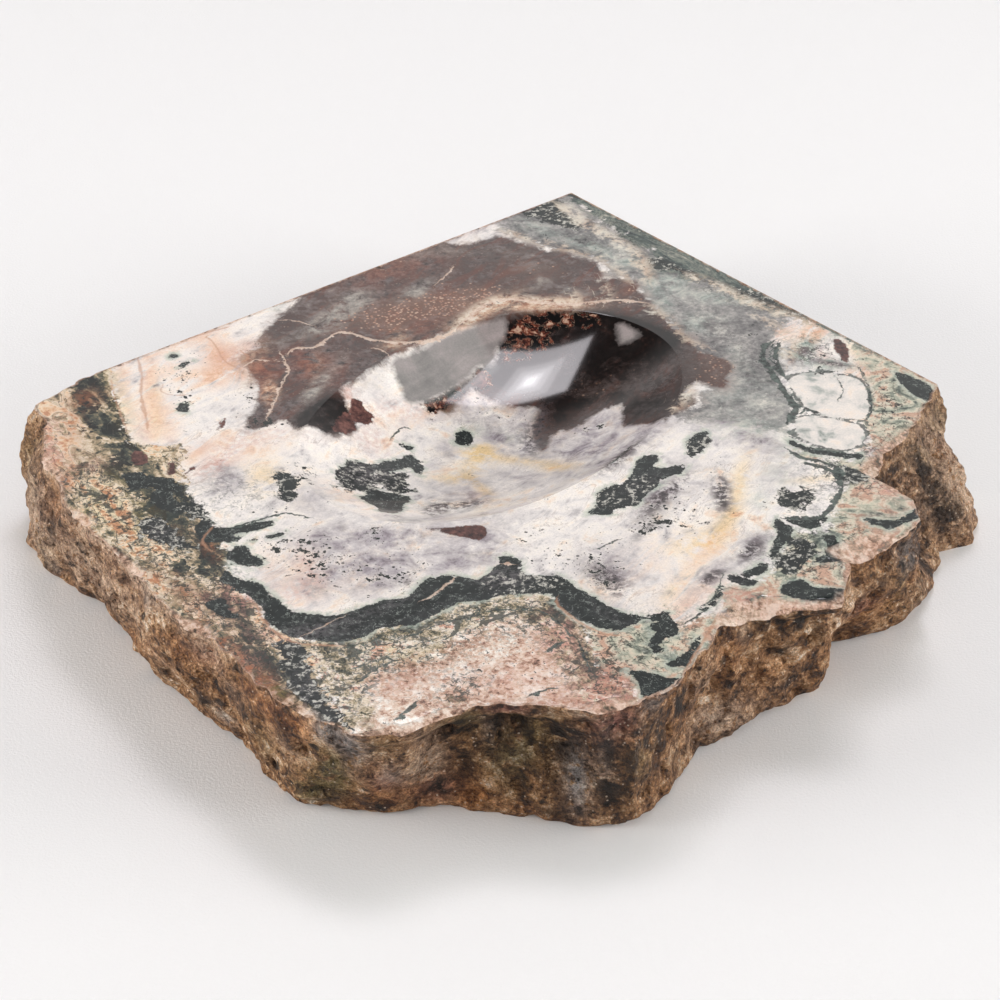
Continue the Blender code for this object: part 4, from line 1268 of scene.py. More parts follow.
class NodeDesk:
    """Lays out the nodes of one tree with short calls."""

    def __init__(self, tree: bpy.types.NodeTree, kind: str, unit: float) -> None:
        """Start on a tree.

        Args:
            tree: The nodes of a material or of the world.
            kind: The coordinates that give each place, as Blender names them.
            unit: Size of the unit that places are counted in.
        """
        self.tree = tree
        coordinates = tree.nodes.new("ShaderNodeTexCoord")
        self.place = self.vector("SCALE", coordinates.outputs[kind], 1 / unit)

    def put(self, socket: Socket, value: object) -> None:
        """Link a socket to another, or set its number or colour.

        Args:
            socket: The input to fill.
            value: A socket to link, or a number, a vector or a display colour.
        """
        if isinstance(value, Socket):
            self.tree.links.new(value, socket)
        elif isinstance(value, tuple) and socket.type == "RGBA":
            socket.default_value = linear(value)
        else:
            socket.default_value = value

    def node(self, kind: str, **inputs: object) -> Node:
        """Add a node and fill its inputs by name.

        Args:
            kind: The node's type, without ShaderNode.
            inputs: What each named input takes.

        Returns:
            The node.
        """
        node = self.tree.nodes.new("ShaderNode" + kind)
        for name, value in inputs.items():
            self.put(node.inputs[name], value)
        return node

    def math(self, operation: str, *values: object) -> Socket:
        """Work one sum on up to three values.

        Args:
            operation: The sum, as Blender names it.
            values: Sockets or numbers.

        Returns:
            The result.
        """
        node = self.node("Math")
        node.operation = operation
        for socket, value in zip(node.inputs, values):
            self.put(socket, value)
        return node.outputs[0]

    def vector(self, operation: str, a: object, b: object) -> Socket:
        """Work one sum on vectors.

        Args:
            operation: The sum, as Blender names it.
            a: The first vector.
            b: The second vector, or a number for SCALE.

        Returns:
            The resulting vector.
        """
        node = self.node("VectorMath")
        node.operation = operation
        self.put(node.inputs[0], a)
        self.put(node.inputs["Scale"] if operation == "SCALE" else node.inputs[1], b)
        return node.outputs[0]

    def stretch(self, turn: float, along: float, across: float, up: float = 1.0) -> Socket:
        """Turn the place about z, then stretch it.

        Args:
            turn: Degrees that it is turned by.
            along: Stretch along the turned x axis.
            across: Stretch along the turned y axis.
            up: Stretch along z.

        Returns:
            The new coordinates.
        """
        node = self.node("Mapping", Vector=self.place, Scale=(along, across, up),
                         Rotation=(0, 0, math.radians(turn)))
        node.vector_type = "TEXTURE"
        return node.outputs[0]

    def stirred(self, size: float, reach: float, place: Socket | None = None) -> Socket:
        """Push the place about by cloudy noise, so that what is drawn there bends.

        Args:
            size: Size of the noise's lumps, in millimetres.
            reach: How far the noise pushes, in millimetres.
            place: Coordinates in millimetres, the stone's own if left out.

        Returns:
            The moved coordinates.
        """
        node = self.node("TexNoise", Vector=self.place, Scale=1 / size, Detail=2.0)
        return self.vector("ADD", place or self.place,
                           self.vector("SCALE", node.outputs["Color"], reach))

    def noise(self, size: float, detail: float = 3.0, roughness: float = 0.55,
              bend: float = 0.0, place: Socket | None = None) -> Socket:
        """Add cloudy noise.

        Args:
            size: Size of its largest lumps, in millimetres.
            detail: How many finer layers it adds.
            roughness: How strong each finer layer is.
            bend: How much it is distorted.
            place: Coordinates in millimetres, the stone's own if left out.

        Returns:
            The noise, about 0.2 to 0.8.
        """
        node = self.node("TexNoise", Vector=place or self.place, Scale=1 / size,
                         Detail=detail, Roughness=roughness, Distortion=bend)
        return node.outputs["Fac"]

    def grains(self, size: float, place: Socket | None = None, feature: str = "F1") -> Node:
        """Add Voronoi grains.

        Args:
            size: Their size, in millimetres.
            place: Coordinates in millimetres, the stone's own if left out.
            feature: What their distance is measured to, as Blender names it.

        Returns:
            The node: Distance, and Color for a value of each grain's own.
        """
        node = self.node("TexVoronoi", Vector=place or self.place, Scale=1 / size)
        node.feature = feature
        return node

    def attribute(self, name: str) -> Socket:
        """Read one number that the surface carries.

        Args:
            name: The attribute's name.

        Returns:
            Its value.
        """
        node = self.node("Attribute")
        node.attribute_name = name
        return node.outputs["Fac"]

    def step(self, value: object, low: float, high: float,
             start: float = 0.0, end: float = 1.0) -> Socket:
        """Rise from start to end while a value goes from low to high.

        Args:
            value: The value.
            low: Where the rise starts.
            high: Where it ends.
            start: Result before the rise.
            end: Result after it.

        Returns:
            The result.
        """
        node = self.node("MapRange")
        for socket, given in zip(node.inputs, (value, low, high, start, end)):
            self.put(socket, given)
        return node.outputs[0]

    def mix(self, share: object, a: object, b: object, mode: str = "MIX") -> Socket:
        """Blend two colours.

        Args:
            share: Share of the second colour.
            a: The first colour.
            b: The second colour.
            mode: How they blend, as Blender names it.

        Returns:
            The blend.
        """
        node = self.node("Mix")
        node.data_type = "RGBA"
        node.blend_type = mode
        for number, value in ((0, share), (6, a), (7, b)):
            self.put(node.inputs[number], value)
        return node.outputs[2]

    def ramp(self, value: Socket, *stops: tuple[float, Colour]) -> Socket:
        """Turn a value into a colour.

        Args:
            value: The value, about 0 to 1.
            stops: Position and display colour of each stop.

        Returns:
            The colour.
        """
        node = self.node("ValToRGB")
        elements = node.color_ramp.elements
        while len(elements) < len(stops):
            elements.new(0.5)
        for element, (position, colour) in zip(elements, stops):
            element.position = position
            element.color = linear(colour)
        self.put(node.inputs[0], value)
        return node.outputs[0]

    def bump(self, height: Socket, distance: float, under: Socket | None = None) -> Socket:
        """Raise the surface by a height.

        Args:
            height: The height, 0 to 1.
            distance: Real height of 1, in millimetres.
            under: Normal of coarser relief underneath, if any.

        Returns:
            The normal.
        """
        node = self.node("Bump", Height=height, Strength=1.0, Distance=distance * MM)
        if under is not None:
            self.put(node.inputs["Normal"], under)
        return node.outputs[0]


class MaterialDesk(NodeDesk):
    """Lays out one material's nodes, with places in the stone's own millimetres."""

    def __init__(self, name: str) -> None:
        """Start a material that has only its shader and output.

        Args:
            name: The material's name.
        """
        self.material = bpy.data.materials.new(name)
        self.material.use_nodes = True
        super().__init__(self.material.node_tree, "Object", MM)
        self.shader = self.tree.nodes["Principled BSDF"]


@dataclass(frozen=True)
class JasperFigure:
    """Colours of the stone's minerals: where on each one's ramp, and which colour."""

    white: Tones = (
        (0.04, (116, 110, 114)), (0.16, (178, 171, 172)), (0.30, (220, 214, 211)),
        (0.46, (238, 231, 226)), (0.64, (245, 237, 228)), (0.80, (238, 216, 196)),
        (0.95, (208, 168, 148)))
    grey: Tones = (
        (0.04, (50, 50, 51)), (0.20, (88, 86, 86)), (0.38, (122, 119, 118)),
        (0.54, (146, 142, 140)), (0.70, (173, 168, 162)), (0.92, (216, 208, 198)))
    green: Tones = (
        (0.04, (27, 34, 34)), (0.20, (60, 70, 67)), (0.34, (112, 118, 107)),
        (0.48, (160, 163, 147)), (0.62, (196, 192, 172)), (0.76, (216, 204, 184)),
        (0.94, (196, 160, 138)))
    moss: Tones = (
        (0.05, (26, 32, 33)), (0.24, (54, 64, 63)), (0.40, (86, 96, 91)),
        (0.50, (128, 132, 121)), (0.58, (72, 82, 79)), (0.74, (142, 142, 131)),
        (0.92, (196, 188, 174)))
    margin: Tones = (
        (0.03, (24, 27, 27)), (0.20, (52, 57, 53)), (0.32, (96, 94, 78)),
        (0.42, (152, 134, 106)), (0.52, (196, 176, 148)), (0.64, (226, 211, 190)),
        (0.78, (234, 210, 180)), (0.90, (218, 176, 138)), (0.98, (188, 134, 98)))
    arch: Tones = (
        (0.03, (80, 56, 46)), (0.16, (140, 102, 84)), (0.30, (186, 148, 128)),
        (0.46, (212, 182, 162)), (0.62, (226, 206, 190)), (0.80, (240, 230, 220)),
        (0.96, (248, 242, 234)))
    beds: Tones = (
        (0.04, (40, 42, 38)), (0.20, (92, 88, 70)), (0.34, (150, 136, 108)),
        (0.50, (202, 184, 158)), (0.66, (224, 210, 190)), (0.80, (236, 228, 216)),
        (0.95, (206, 160, 138)))
    chert: Tones = (
        (0.04, (36, 27, 26)), (0.24, (60, 48, 46)), (0.42, (80, 68, 66)),
        (0.54, (76, 56, 52)), (0.66, (96, 84, 82)), (0.80, (116, 105, 102)),
        (0.95, (150, 140, 134)))
    slate: Tones = (
        (0.10, (16, 20, 20)), (0.45, (31, 36, 36)), (0.70, (42, 48, 47)),
        (0.92, (66, 70, 66)))
    cells: Tones = (
        (0.08, (116, 124, 120)), (0.26, (176, 178, 172)), (0.42, (218, 212, 206)),
        (0.66, (234, 225, 217)), (0.88, (238, 220, 202)))
    breccia: Tones = (
        (0.30, (10, 7, 7)), (0.50, (30, 14, 12)), (0.66, (74, 34, 26)),
        (0.80, (122, 70, 52)), (0.95, (178, 148, 128)))
    worn: Tones = (
        (0.06, (62, 42, 32)), (0.28, (150, 112, 90)), (0.48, (208, 170, 146)),
        (0.76, (240, 218, 202)))
    rind: Tones = (
        (0.03, (24, 14, 8)), (0.20, (70, 43, 24)), (0.38, (122, 82, 49)),
        (0.54, (162, 116, 75)), (0.70, (194, 151, 110)), (0.84, (222, 190, 158)),
        (0.97, (242, 224, 206)))


class JasperPainter:
    """Lays the minerals over each other, from the white ground to the finest specks.

    Each layer is a noisy distance that the surface carries, turned into a sharp or
    soft edge. A method that takes a colour returns it with its layers laid on top.
    """

    def __init__(self, desk: NodeDesk, tones: JasperFigure) -> None:
        """Set up the noises and grains that the layers share.

        Args:
            desk: The material's nodes.
            tones: The minerals' colours.
        """
        d = desk
        self.desk = desk
        self.tones = tones
        self.cloud = d.noise(17, 5, 0.6, 0.8)
        self.swirl = d.noise(8.0, 5, 0.6, 2.2)
        self.lumps = d.noise(5.2, 5, 0.68, 0.5)
        self.fine = d.noise(1.5, 3, 0.7)
        self.grit = d.noise(0.45, 1, 0.6)
        self.flow = d.noise(6.0, 5, 0.66, 1.4, d.stretch(54, 3.0, 1.0))
        self.strata = d.noise(5.4, 4, 0.52, 1.4, d.stretch(-56, 3.0, 1.0))
        self.pools = d.noise(7.5, 3, 0.45, 1.4)
        self.grain = d.grains(0.8)
        self.granules = d.grains(0.95)
        self.spots = d.grains(1.5)
        self.shards = d.grains(3.0, d.stirred(2.6, 9.0, d.stretch(-56, 2.2, 1.0)))
        self.crumbs = d.grains(1.9, d.stirred(1.8, 4.0))
        self.joints = d.grains(3.4, d.stirred(2.4, 7.0, d.stretch(-56, 1.5, 1.0)),
                               "DISTANCE_TO_EDGE")
        self.mixed = self.blend(self.lumps, self.cloud, 0.5)
        self.busy = self.blend(self.fine, self.lumps, 0.5)
        self.marbled = self.blend(self.swirl, self.busy, 0.6)
        self.wander = self.total(self.spread(self.lumps, 6.0), self.spread(self.fine, 3.0))

    def total(self, *values: object) -> Socket:
        """Add several values together."""
        return reduce(partial(self.desk.math, "ADD"), values)

    def times(self, *values: object) -> Socket:
        """Multiply several values together."""
        return reduce(partial(self.desk.math, "MULTIPLY"), values)

    def blend(self, a: Socket, b: Socket, share: float) -> Socket:
        """Average two values, with a share for the first."""
        return self.desk.math("MULTIPLY_ADD", a, share, self.times(b, 1 - share))

    def spread(self, value: Socket, gain: float) -> Socket:
        """Take a value's distance from a half, times a gain."""
        return self.desk.math("MULTIPLY_ADD", value, gain, -0.5 * gain)

    def speckle(self, grains: Node, gain: float) -> Socket:
        """Give each grain a value of its own, up to half the gain either way."""
        return self.spread(grains.outputs["Color"], gain)

    def contrast(self, value: Socket, gain: float) -> Socket:
        """Spread a value about a half."""
        return self.desk.math("MULTIPLY_ADD", value, gain, 0.5 - 0.5 * gain)

    def ridge(self, value: Socket, width: float) -> Socket:
        """Thin lines where a noise passes through a half."""
        gap = self.desk.math("ABSOLUTE", self.desk.math("SUBTRACT", value, 0.5))
        return self.desk.step(gap, width, width * 0.3)

    def dots(self, grains: Node, size: Span, picked: Span, extra: object = 0.0,
             share: float = 1.0) -> Socket:
        """Round dots in the middle of some of the grains.

        Args:
            grains: The grains' node.
            size: Distance from a grain's middle where its dot ends, and where it is full.
            picked: Grain values at which dots start to show, and are full.
            extra: What is added to each grain's own value, so that more are picked.
            share: Strength of the dots.

        Returns:
            The share of the dots, from 0 to 1.
        """
        value = self.total(grains.outputs["Color"], extra)
        return self.times(self.desk.step(grains.outputs["Distance"], *size),
                          self.desk.step(value, *picked), share)

    def edge(self, name: str, softness: float = 0.12, wobble: float = 1.0,
             shift: float = 0.0) -> Socket:
        """Share of one layer, from its distance with a wandering edge."""
        moved = self.desk.math("MULTIPLY_ADD", self.wander, wobble, self.desk.attribute(name))
        return self.desk.step(moved, shift - softness, shift + softness)

    def lay(self, colour: Socket, name: str, softness: float, wobble: float,
            tone: object) -> Socket:
        """Lay a tone over a colour inside one layer's patches."""
        return self.desk.mix(self.edge(name, softness, wobble), colour, tone)

    def line(self, name: str, wobble: float = 0.35, soft: float = 0.12) -> Socket:
        """Find the share of one line layer, swelling and thinning along its way.

        Args:
            name: The layer's name.
            wobble: How much the lines wander.
            soft: Half width of their soft edge, in millimetres.

        Returns:
            The share, from 0 to 1.
        """
        d = self.desk
        moved = d.math("MULTIPLY_ADD", self.wander, wobble, d.attribute(name + "_side"))
        swell = d.step(self.lumps, 0.36, 0.62, 0.35, 1.25)
        width = self.times(d.attribute(name + "_width"), swell)
        return d.step(d.math("SUBTRACT", width, d.math("ABSOLUTE", moved)), -soft, soft)

    def stain(self, name: str, noise: Socket, low: float, high: float) -> Socket:
        """Share of one stain, broken up by a noise."""
        return self.times(self.desk.attribute(name), self.desk.step(noise, low, high))

    def tint(self, colour: Socket, name: str, noise: Socket, low: float, high: float,
             tone: object) -> Socket:
        """Lay a tone over a colour where one stain is."""
        return self.desk.mix(self.stain(name, noise, low, high), colour, tone)

    def shaded(self, value: Socket, depth: float) -> Socket:
        """Lower a value where the stone is darker, by up to the depth."""
        return self.desk.math("SUBTRACT", value,
                              self.times(self.desk.attribute("shade"), depth))

    def white_ground(self) -> Socket:
        """Paint the white, cream and lilac ground with its flowing streaks.

        Returns:
            The ground's colour.
        """
        d = self.desk
        soft = self.blend(self.mixed, self.pools, 0.5)
        colour = d.ramp(self.contrast(self.blend(self.flow, soft, 0.40), 3.0),
                        *self.tones.white)
        veil = self.times(self.ridge(self.flow, 0.016), d.step(self.cloud, 0.48, 0.58), 0.5)
        colour = d.mix(veil, colour, (162, 144, 138))
        hair = self.times(self.ridge(self.swirl, 0.005), d.step(self.lumps, 0.50, 0.58), 0.6)
        colour = d.mix(hair, colour, (112, 108, 106))
        colour = d.mix(d.step(self.fine, 0.60, 0.68, 0.0, 0.4), colour, (176, 166, 164))
        colour = d.mix(self.stain("yellow", self.mixed, 0.40, 0.50), colour,
                       (248, 222, 168), "MULTIPLY")
        colour = self.tint(colour, "peach", self.flow, 0.38, 0.52,
                           d.ramp(self.busy, (0.36, (212, 160, 130)), (0.6, (242, 210, 184))))
        lilac = d.ramp(self.contrast(self.marbled, 2.6), (0.1, (84, 76, 82)),
                       (0.35, (142, 132, 138)), (0.6, (176, 168, 172)), (0.9, (214, 208, 206)))
        return self.tint(colour, "lilac", self.mixed, 0.64, 0.42, lilac)

    def grey_ground(self, colour: Socket) -> Socket:
        """Lay the grey, green and mossy grounds over the white one.

        Args:
            colour: What lies underneath.

        Returns:
            The painted colour.
        """
        d = self.desk
        clouds = self.contrast(self.blend(self.cloud, self.busy, 0.5), 2.8)
        grey = d.ramp(self.total(clouds, self.speckle(self.grain, 0.20)), *self.tones.grey)
        dots = self.dots(self.grain, (0.34, 0.2), (0.78, 0.84), share=0.5)
        grey = d.mix(dots, grey, (206, 202, 192))
        colour = self.lay(colour, "grey", 1.4, 2.6, grey)
        pale = d.ramp(self.contrast(self.swirl, 2.4), (0.2, (120, 138, 130)),
                      (0.5, (176, 188, 178)), (0.75, (214, 214, 202)))
        colour = self.tint(colour, "teal", self.lumps, 0.36, 0.54, pale)
        green = self.total(self.contrast(self.blend(self.pools, self.busy, 0.7), 3.0),
                           self.speckle(self.crumbs, 0.30), 0.24)
        green = d.ramp(self.shaded(green, 0.36), *self.tones.green)
        colour = self.lay(colour, "green", 0.6, 1.8, green)
        striped = d.noise(4.6, 4, 0.55, 1.4, d.stretch(-50, 2.8, 1.0))
        moss = d.ramp(self.contrast(self.blend(striped, self.busy, 0.6), 3.0),
                      *self.tones.moss)
        return self.lay(colour, "moss", 0.8, 2.2, moss)

    def margin(self, colour: Socket) -> Socket:
        """Lay the left margin: thin, broken beds of tan, olive, pink and charcoal.

        Args:
            colour: What lies underneath.

        Returns:
            The painted colour.
        """
        d = self.desk
        value = self.total(self.contrast(self.blend(self.strata, self.busy, 0.6), 2.6),
                           self.speckle(self.shards, 0.62), self.speckle(self.crumbs, 0.22),
                           0.20)
        value = self.shaded(value, 0.52)
        beds = d.ramp(value, *self.tones.margin)
        beds = self.tint(beds, "rust", self.strata, 0.42, 0.56,
                         d.ramp(value, (0.2, (110, 62, 40)), (0.7, (186, 128, 96))))
        beds = self.tint(beds, "yellow", self.strata, 0.62, 0.44,
                         d.ramp(value, (0.2, (128, 112, 66)), (0.7, (222, 206, 160))))
        beds = d.mix(self.times(self.ridge(self.strata, 0.012), 0.85), beds, (38, 38, 34))
        beds = d.mix(d.step(self.fine, 0.66, 0.70, 0.0, 0.9), beds, (30, 26, 22))
        return self.lay(colour, "margin", 0.4, 1.8, beds)

    def arch(self, colour: Socket) -> Socket:
        """Lay the front arch: thin wavy beds outside, pink granular stone inside.

        Args:
            colour: What lies underneath.

        Returns:
            The painted colour.
        """
        d = self.desk
        gap = d.math("MULTIPLY_ADD", self.wander, 1.6, d.attribute("arch"))
        speckled = self.total(self.contrast(self.blend(self.busy, self.pools, 0.8), 3.4),
                              self.speckle(self.grain, 0.46), self.speckle(self.crumbs, 0.32),
                              0.06)
        speckled = self.shaded(speckled, 0.40)
        inside = d.ramp(speckled, *self.tones.arch)
        waves = self.times(d.math("SINE", self.times(gap, 4.2)), 0.10)
        waves = self.shaded(self.total(waves, self.speckle(self.crumbs, 0.60), 0.08), 0.40)
        beds = d.ramp(self.total(waves, self.contrast(
            self.blend(self.pools, self.busy, 0.55), 3.0)), *self.tones.beds)
        shown = d.math("SUBTRACT", self.total(gap, self.spread(self.mixed, 30.0)),
                       self.times(d.attribute("stringers"), 12.0))
        inside = d.mix(d.step(shown, 6.0, 1.0), inside, beds)
        inside = self.tint(inside, "yellow", self.lumps, 0.62, 0.44,
                           d.ramp(speckled, (0.2, (122, 106, 62)), (0.7, (214, 196, 150))))
        inside = d.mix(self.times(self.ridge(self.lumps, 0.010), 0.5), inside, (84, 66, 58))
        inside = d.mix(d.step(self.fine, 0.65, 0.69, 0.0, 0.85), inside, (62, 44, 38))
        return d.mix(d.step(gap, -0.2, 0.2), colour, inside)

    def stains(self, colour: Socket) -> Socket:
        """Lay the pink and rusty stains over the pale grounds."""
        colour = self.tint(colour, "pink", self.fine, 0.34, 0.58, (204, 152, 136))
        return self.tint(colour, "rust", self.busy, 0.44, 0.56, (156, 96, 64))

    def stringers(self, colour: Socket) -> Socket:
        """Run thin dark green threads through the beds, in nets and short dashes.

        Args:
            colour: What lies underneath.

        Returns:
            The painted colour.
        """
        d = self.desk
        much = d.attribute("stringers")
        net = d.math("MAXIMUM", self.ridge(self.swirl, 0.012),
                     d.step(self.joints.outputs["Distance"], 0.10, 0.04))
        shown = self.times(net, d.step(self.fine, 0.40, 0.54))
        clots = d.step(d.math("MULTIPLY_ADD", much, 0.10, self.marbled), 0.615, 0.640)
        share = self.times(d.math("MAXIMUM", shown, clots), d.step(much, 0.05, 0.5), 0.88)
        return d.mix(share, colour, (44, 52, 48))

    def chert(self, colour: Socket) -> Socket:
        """Lay the brown chert, with its clouds, granules and dark end.

        Args:
            colour: What lies underneath.

        Returns:
            The painted colour.
        """
        d = self.desk
        chert = d.ramp(self.contrast(self.blend(self.mixed, self.marbled, 0.5), 2.9),
                       *self.tones.chert)
        chert = d.mix(self.times(d.step(self.flow, 0.50, 0.62), 0.6), chert, (106, 62, 50))
        veil = self.times(d.step(self.cloud, 0.52, 0.40), d.step(self.fine, 0.42, 0.60), 0.45)
        chert = d.mix(veil, chert, (126, 116, 116))
        for name, low, high, *stops in (
                ("rust", 0.38, 0.54, (0.35, (104, 46, 32)), (0.65, (160, 92, 64))),
                ("peach", 0.34, 0.52, (0.35, (170, 118, 90)), (0.62, (222, 194, 168))),
                ("cloud", 0.36, 0.54, (0.35, (122, 116, 112)), (0.65, (172, 165, 156)))):
            chert = self.tint(chert, name, self.lumps, low, high, d.ramp(self.fine, *stops))
        much = d.attribute("granules")
        chert = d.mix(self.times(much, 0.4), chert, (142, 104, 86))
        dots = self.dots(self.granules, (0.46, 0.24), (0.97, 1.04), self.times(much, 0.76),
                         0.85)
        chert = d.mix(dots, chert, d.ramp(self.fine, (0.4, (168, 118, 96)),
                                          (0.6, (206, 174, 152))))
        tiny = self.dots(self.grain, (0.30, 0.20), (0.80, 0.86), share=0.35)
        chert = d.mix(tiny, chert, (190, 166, 150))
        soot = d.ramp(self.contrast(self.busy, 2.4), (0.3, (6, 4, 4)), (0.65, (17, 10, 9)),
                      (0.95, (50, 31, 26)))
        sooty = d.attribute("soot")
        thick = d.math("MULTIPLY_ADD", self.spread(self.mixed, 3.0), sooty, sooty)
        chert = d.mix(d.step(thick, 0.05, 0.95, 0.0, 0.97), chert, soot)
        haze = self.times(self.edge("chert", 2.0, 1.6, -1.4), d.step(self.mixed, 0.42, 0.56), 0.6)
        colour = d.mix(haze, colour, (158, 138, 130))
        return self.lay(colour, "chert", 0.7, 0.7, chert)

    def fragments(self, colour: Socket) -> Socket:
        """Lay the black, red and orange broken patch, the painted reflection in the dish, and the
        maroon pieces.

        Args:
            colour: What lies underneath.

        Returns:
            The painted colour.
        """
        d = self.desk
        crumb = d.noise(2.6, 5, 0.6, 0.4)
        broken = d.ramp(self.total(self.contrast(crumb, 3.0), self.speckle(self.crumbs, 0.40)),
                        *self.tones.breccia)
        broken = d.mix(self.times(self.ridge(crumb, 0.010), 0.5), broken, (176, 148, 128))
        colour = self.lay(colour, "breccia", 0.3, 1.2, broken)
        # Painted reflection: a smooth grey patch on the far wall of the dish, standing for a grey
        # panel mirrored there.
        panel_reflection = d.ramp(self.contrast(self.blend(self.flow, self.cloud, 0.3), 1.6),
                       (0.2, (98, 94, 92)), (0.5, (134, 127, 125)), (0.8, (166, 154, 152)))
        colour = self.lay(colour, "panel_reflection", 0.9, 0.4, panel_reflection)
        maroon = d.ramp(self.contrast(self.busy, 2.6), (0.2, (50, 32, 32)),
                        (0.5, (84, 54, 50)), (0.8, (122, 82, 74)))
        return self.lay(colour, "maroon", 0.2, 0.5, maroon)

    def slate(self, colour: Socket) -> Socket:
        """Lay the near-black slate, plain or crackled with pale flecks.

        Args:
            colour: What lies underneath.

        Returns:
            The painted colour.
        """
        d = self.desk
        slate = d.ramp(self.contrast(self.busy, 2.4), *self.tones.slate)
        slate = self.tint(slate, "cloud", self.fine, 0.38, 0.58, (98, 93, 96))
        smoke = self.stain("smoke", self.busy, 0.56, 0.47)
        colour = d.mix(d.math("MINIMUM", smoke, 0.92), colour,
                       d.ramp(self.fine, (0.35, (44, 40, 42)), (0.62, (104, 92, 94))))
        halo = self.times(self.edge("slate", 0.7, 1.0, -0.9), d.step(self.lumps, 0.38, 0.52),
                          d.step(d.attribute("margin"), 1.0, -0.6), 0.8)
        colour = d.mix(halo, colour, d.ramp(self.fine, (0.35, (134, 148, 138)),
                                            (0.62, (206, 208, 194))))
        threads = self.times(self.ridge(self.swirl, 0.010), d.step(self.fine, 0.46, 0.52), 0.75)
        flecks = d.math("MAXIMUM", threads, d.step(self.fine, 0.63, 0.69, 0.0, 0.6))
        glints = self.dots(self.grain, (0.24, 0.14), (0.70, 0.76), share=0.7)
        colour = self.lay(colour, "slate", 0.12, 0.7, d.mix(
            d.math("MAXIMUM", flecks, glints), slate, (140, 146, 140)))
        bent = d.vector("ADD", d.place, d.vector("SCALE", self.lumps, 9.0))
        crack = d.grains(4.6, bent, "DISTANCE_TO_EDGE")
        cracks = self.times(d.step(crack.outputs["Distance"], 0.08, 0.03),
                            d.step(self.fine, 0.46, 0.56))
        pale = self.times(d.math("MAXIMUM", cracks, d.step(self.fine, 0.585, 0.64)), 0.76)
        crackled = d.mix(pale, slate, d.ramp(self.fine, (0.35, (132, 132, 126)),
                                             (0.6, (212, 208, 198))))
        return d.mix(self.edge("crackled", 0.25, 1.8, 0.3), colour, crackled)

    def lines(self, colour: Socket) -> Socket:
        """Lay the ringed cells and the thin dark, rusty and cream lines.

        Args:
            colour: What lies underneath.

        Returns:
            The painted colour.
        """
        d = self.desk
        gap = d.math("MULTIPLY_ADD", self.wander, 0.8, d.attribute("cells"))
        cell = d.ramp(self.contrast(self.blend(self.mixed, self.pools, 0.6), 3.0),
                      *self.tones.cells)
        colour = d.mix(d.step(gap, -0.1, 0.1), colour, cell)
        ring = d.math("SUBTRACT", d.step(self.lumps, 0.40, 0.64, 0.05, 1.3),
                      d.math("ABSOLUTE", gap))
        dusk = d.ramp(self.fine, (0.38, (26, 34, 33)), (0.66, (92, 104, 98)))
        colour = d.mix(self.times(d.step(ring, 0.0, 0.3), 0.85), colour, dusk)
        colour = d.mix(self.times(self.line("rusty", 0.2, 0.22), 0.6), colour, (188, 140, 112))
        colour = d.mix(self.times(self.line("dark", 0.5), 0.95), colour, dusk)
        broad = self.times(self.line("vein", 1.6, 1.3), d.step(self.busy, 0.40, 0.54), 0.85)
        cream = d.ramp(self.contrast(self.mixed, 2.6), (0.2, (186, 150, 124)),
                       (0.5, (216, 198, 178)), (0.8, (226, 220, 206)))
        colour = d.mix(broad, colour, cream)
        pale = d.ramp(self.fine, (0.35, (196, 164, 144)), (0.65, (226, 206, 190)))
        return d.mix(self.times(self.line("cream", 0.5), 0.8), colour, pale)

    def specks(self, colour: Socket) -> Socket:
        """Scatter small dark specks, thickest where the stone has them.

        Args:
            colour: What lies underneath.

        Returns:
            The painted colour.
        """
        d = self.desk
        much = d.attribute("specks")
        spotted = self.dots(self.spots, (0.34, 0.22), (1.10, 1.18), self.times(much, 0.5))
        tiny = self.dots(self.grain, (0.28, 0.18), (0.96, 1.04), self.times(much, 0.42))
        clumps = d.step(d.math("MULTIPLY_ADD", much, 0.12, self.busy), 0.650, 0.675)
        share = d.math("MAXIMUM", spotted, d.math("MAXIMUM", tiny, clumps))
        return d.mix(share, colour, (40, 44, 42))

    def wear(self) -> Socket:
        """Find the worn brown skin along the broken edge of the top.

        Returns:
            Its share, from 0 to 1.
        """
        d = self.desk
        gap = d.math("MULTIPLY_ADD", self.wander, 0.7, d.attribute("edge_gap"))
        fallen = d.math("MULTIPLY_ADD", self.wander, 0.06, d.attribute("drop"))
        chipped = self.times(d.step(fallen, 0.02, 0.25, 0.0, 0.85),
                             d.step(d.attribute("drop"), 0.0, 0.03))
        return d.math("MAXIMUM", d.step(gap, 1.1, 0.1), chipped)

    def paint(self) -> Socket:
        """Paint every layer in order.

        Returns:
            The stone's colour.
        """
        d = self.desk
        colour = self.white_ground()
        for layer in (self.grey_ground, self.margin, self.arch, self.stains, self.stringers,
                      self.chert, self.fragments, self.slate, self.lines, self.specks):
            colour = layer(colour)
        rock = d.ramp(self.total(self.contrast(self.busy, 3.0), self.speckle(self.crumbs, 0.50),
                                 self.speckle(self.grain, 0.26)), *self.tones.worn)
        colour = d.mix(self.times(self.wear(), 0.85), colour, rock)
        return d.mix(1.0, colour, d.step(self.grit, 0.3, 0.7, 0.92, 1.06), "MULTIPLY")

    def coarseness(self) -> Socket:
        """Find how rough-grained the surface is.

        Returns:
            From 0, polished, to 1, broken.
        """
        d = self.desk
        grainy = self.times(d.math("MAXIMUM", self.edge("margin", 0.5), self.edge("arch", 0.5)),
                            0.12)
        fallen = d.step(d.attribute("drop"), 0.0, 0.03, 0.0, 0.9)
        worn = d.math("MAXIMUM", self.wear(), d.math("MAXIMUM", fallen, grainy))
        return d.math("MAXIMUM", self.edge("chipped", 0.3), worn)


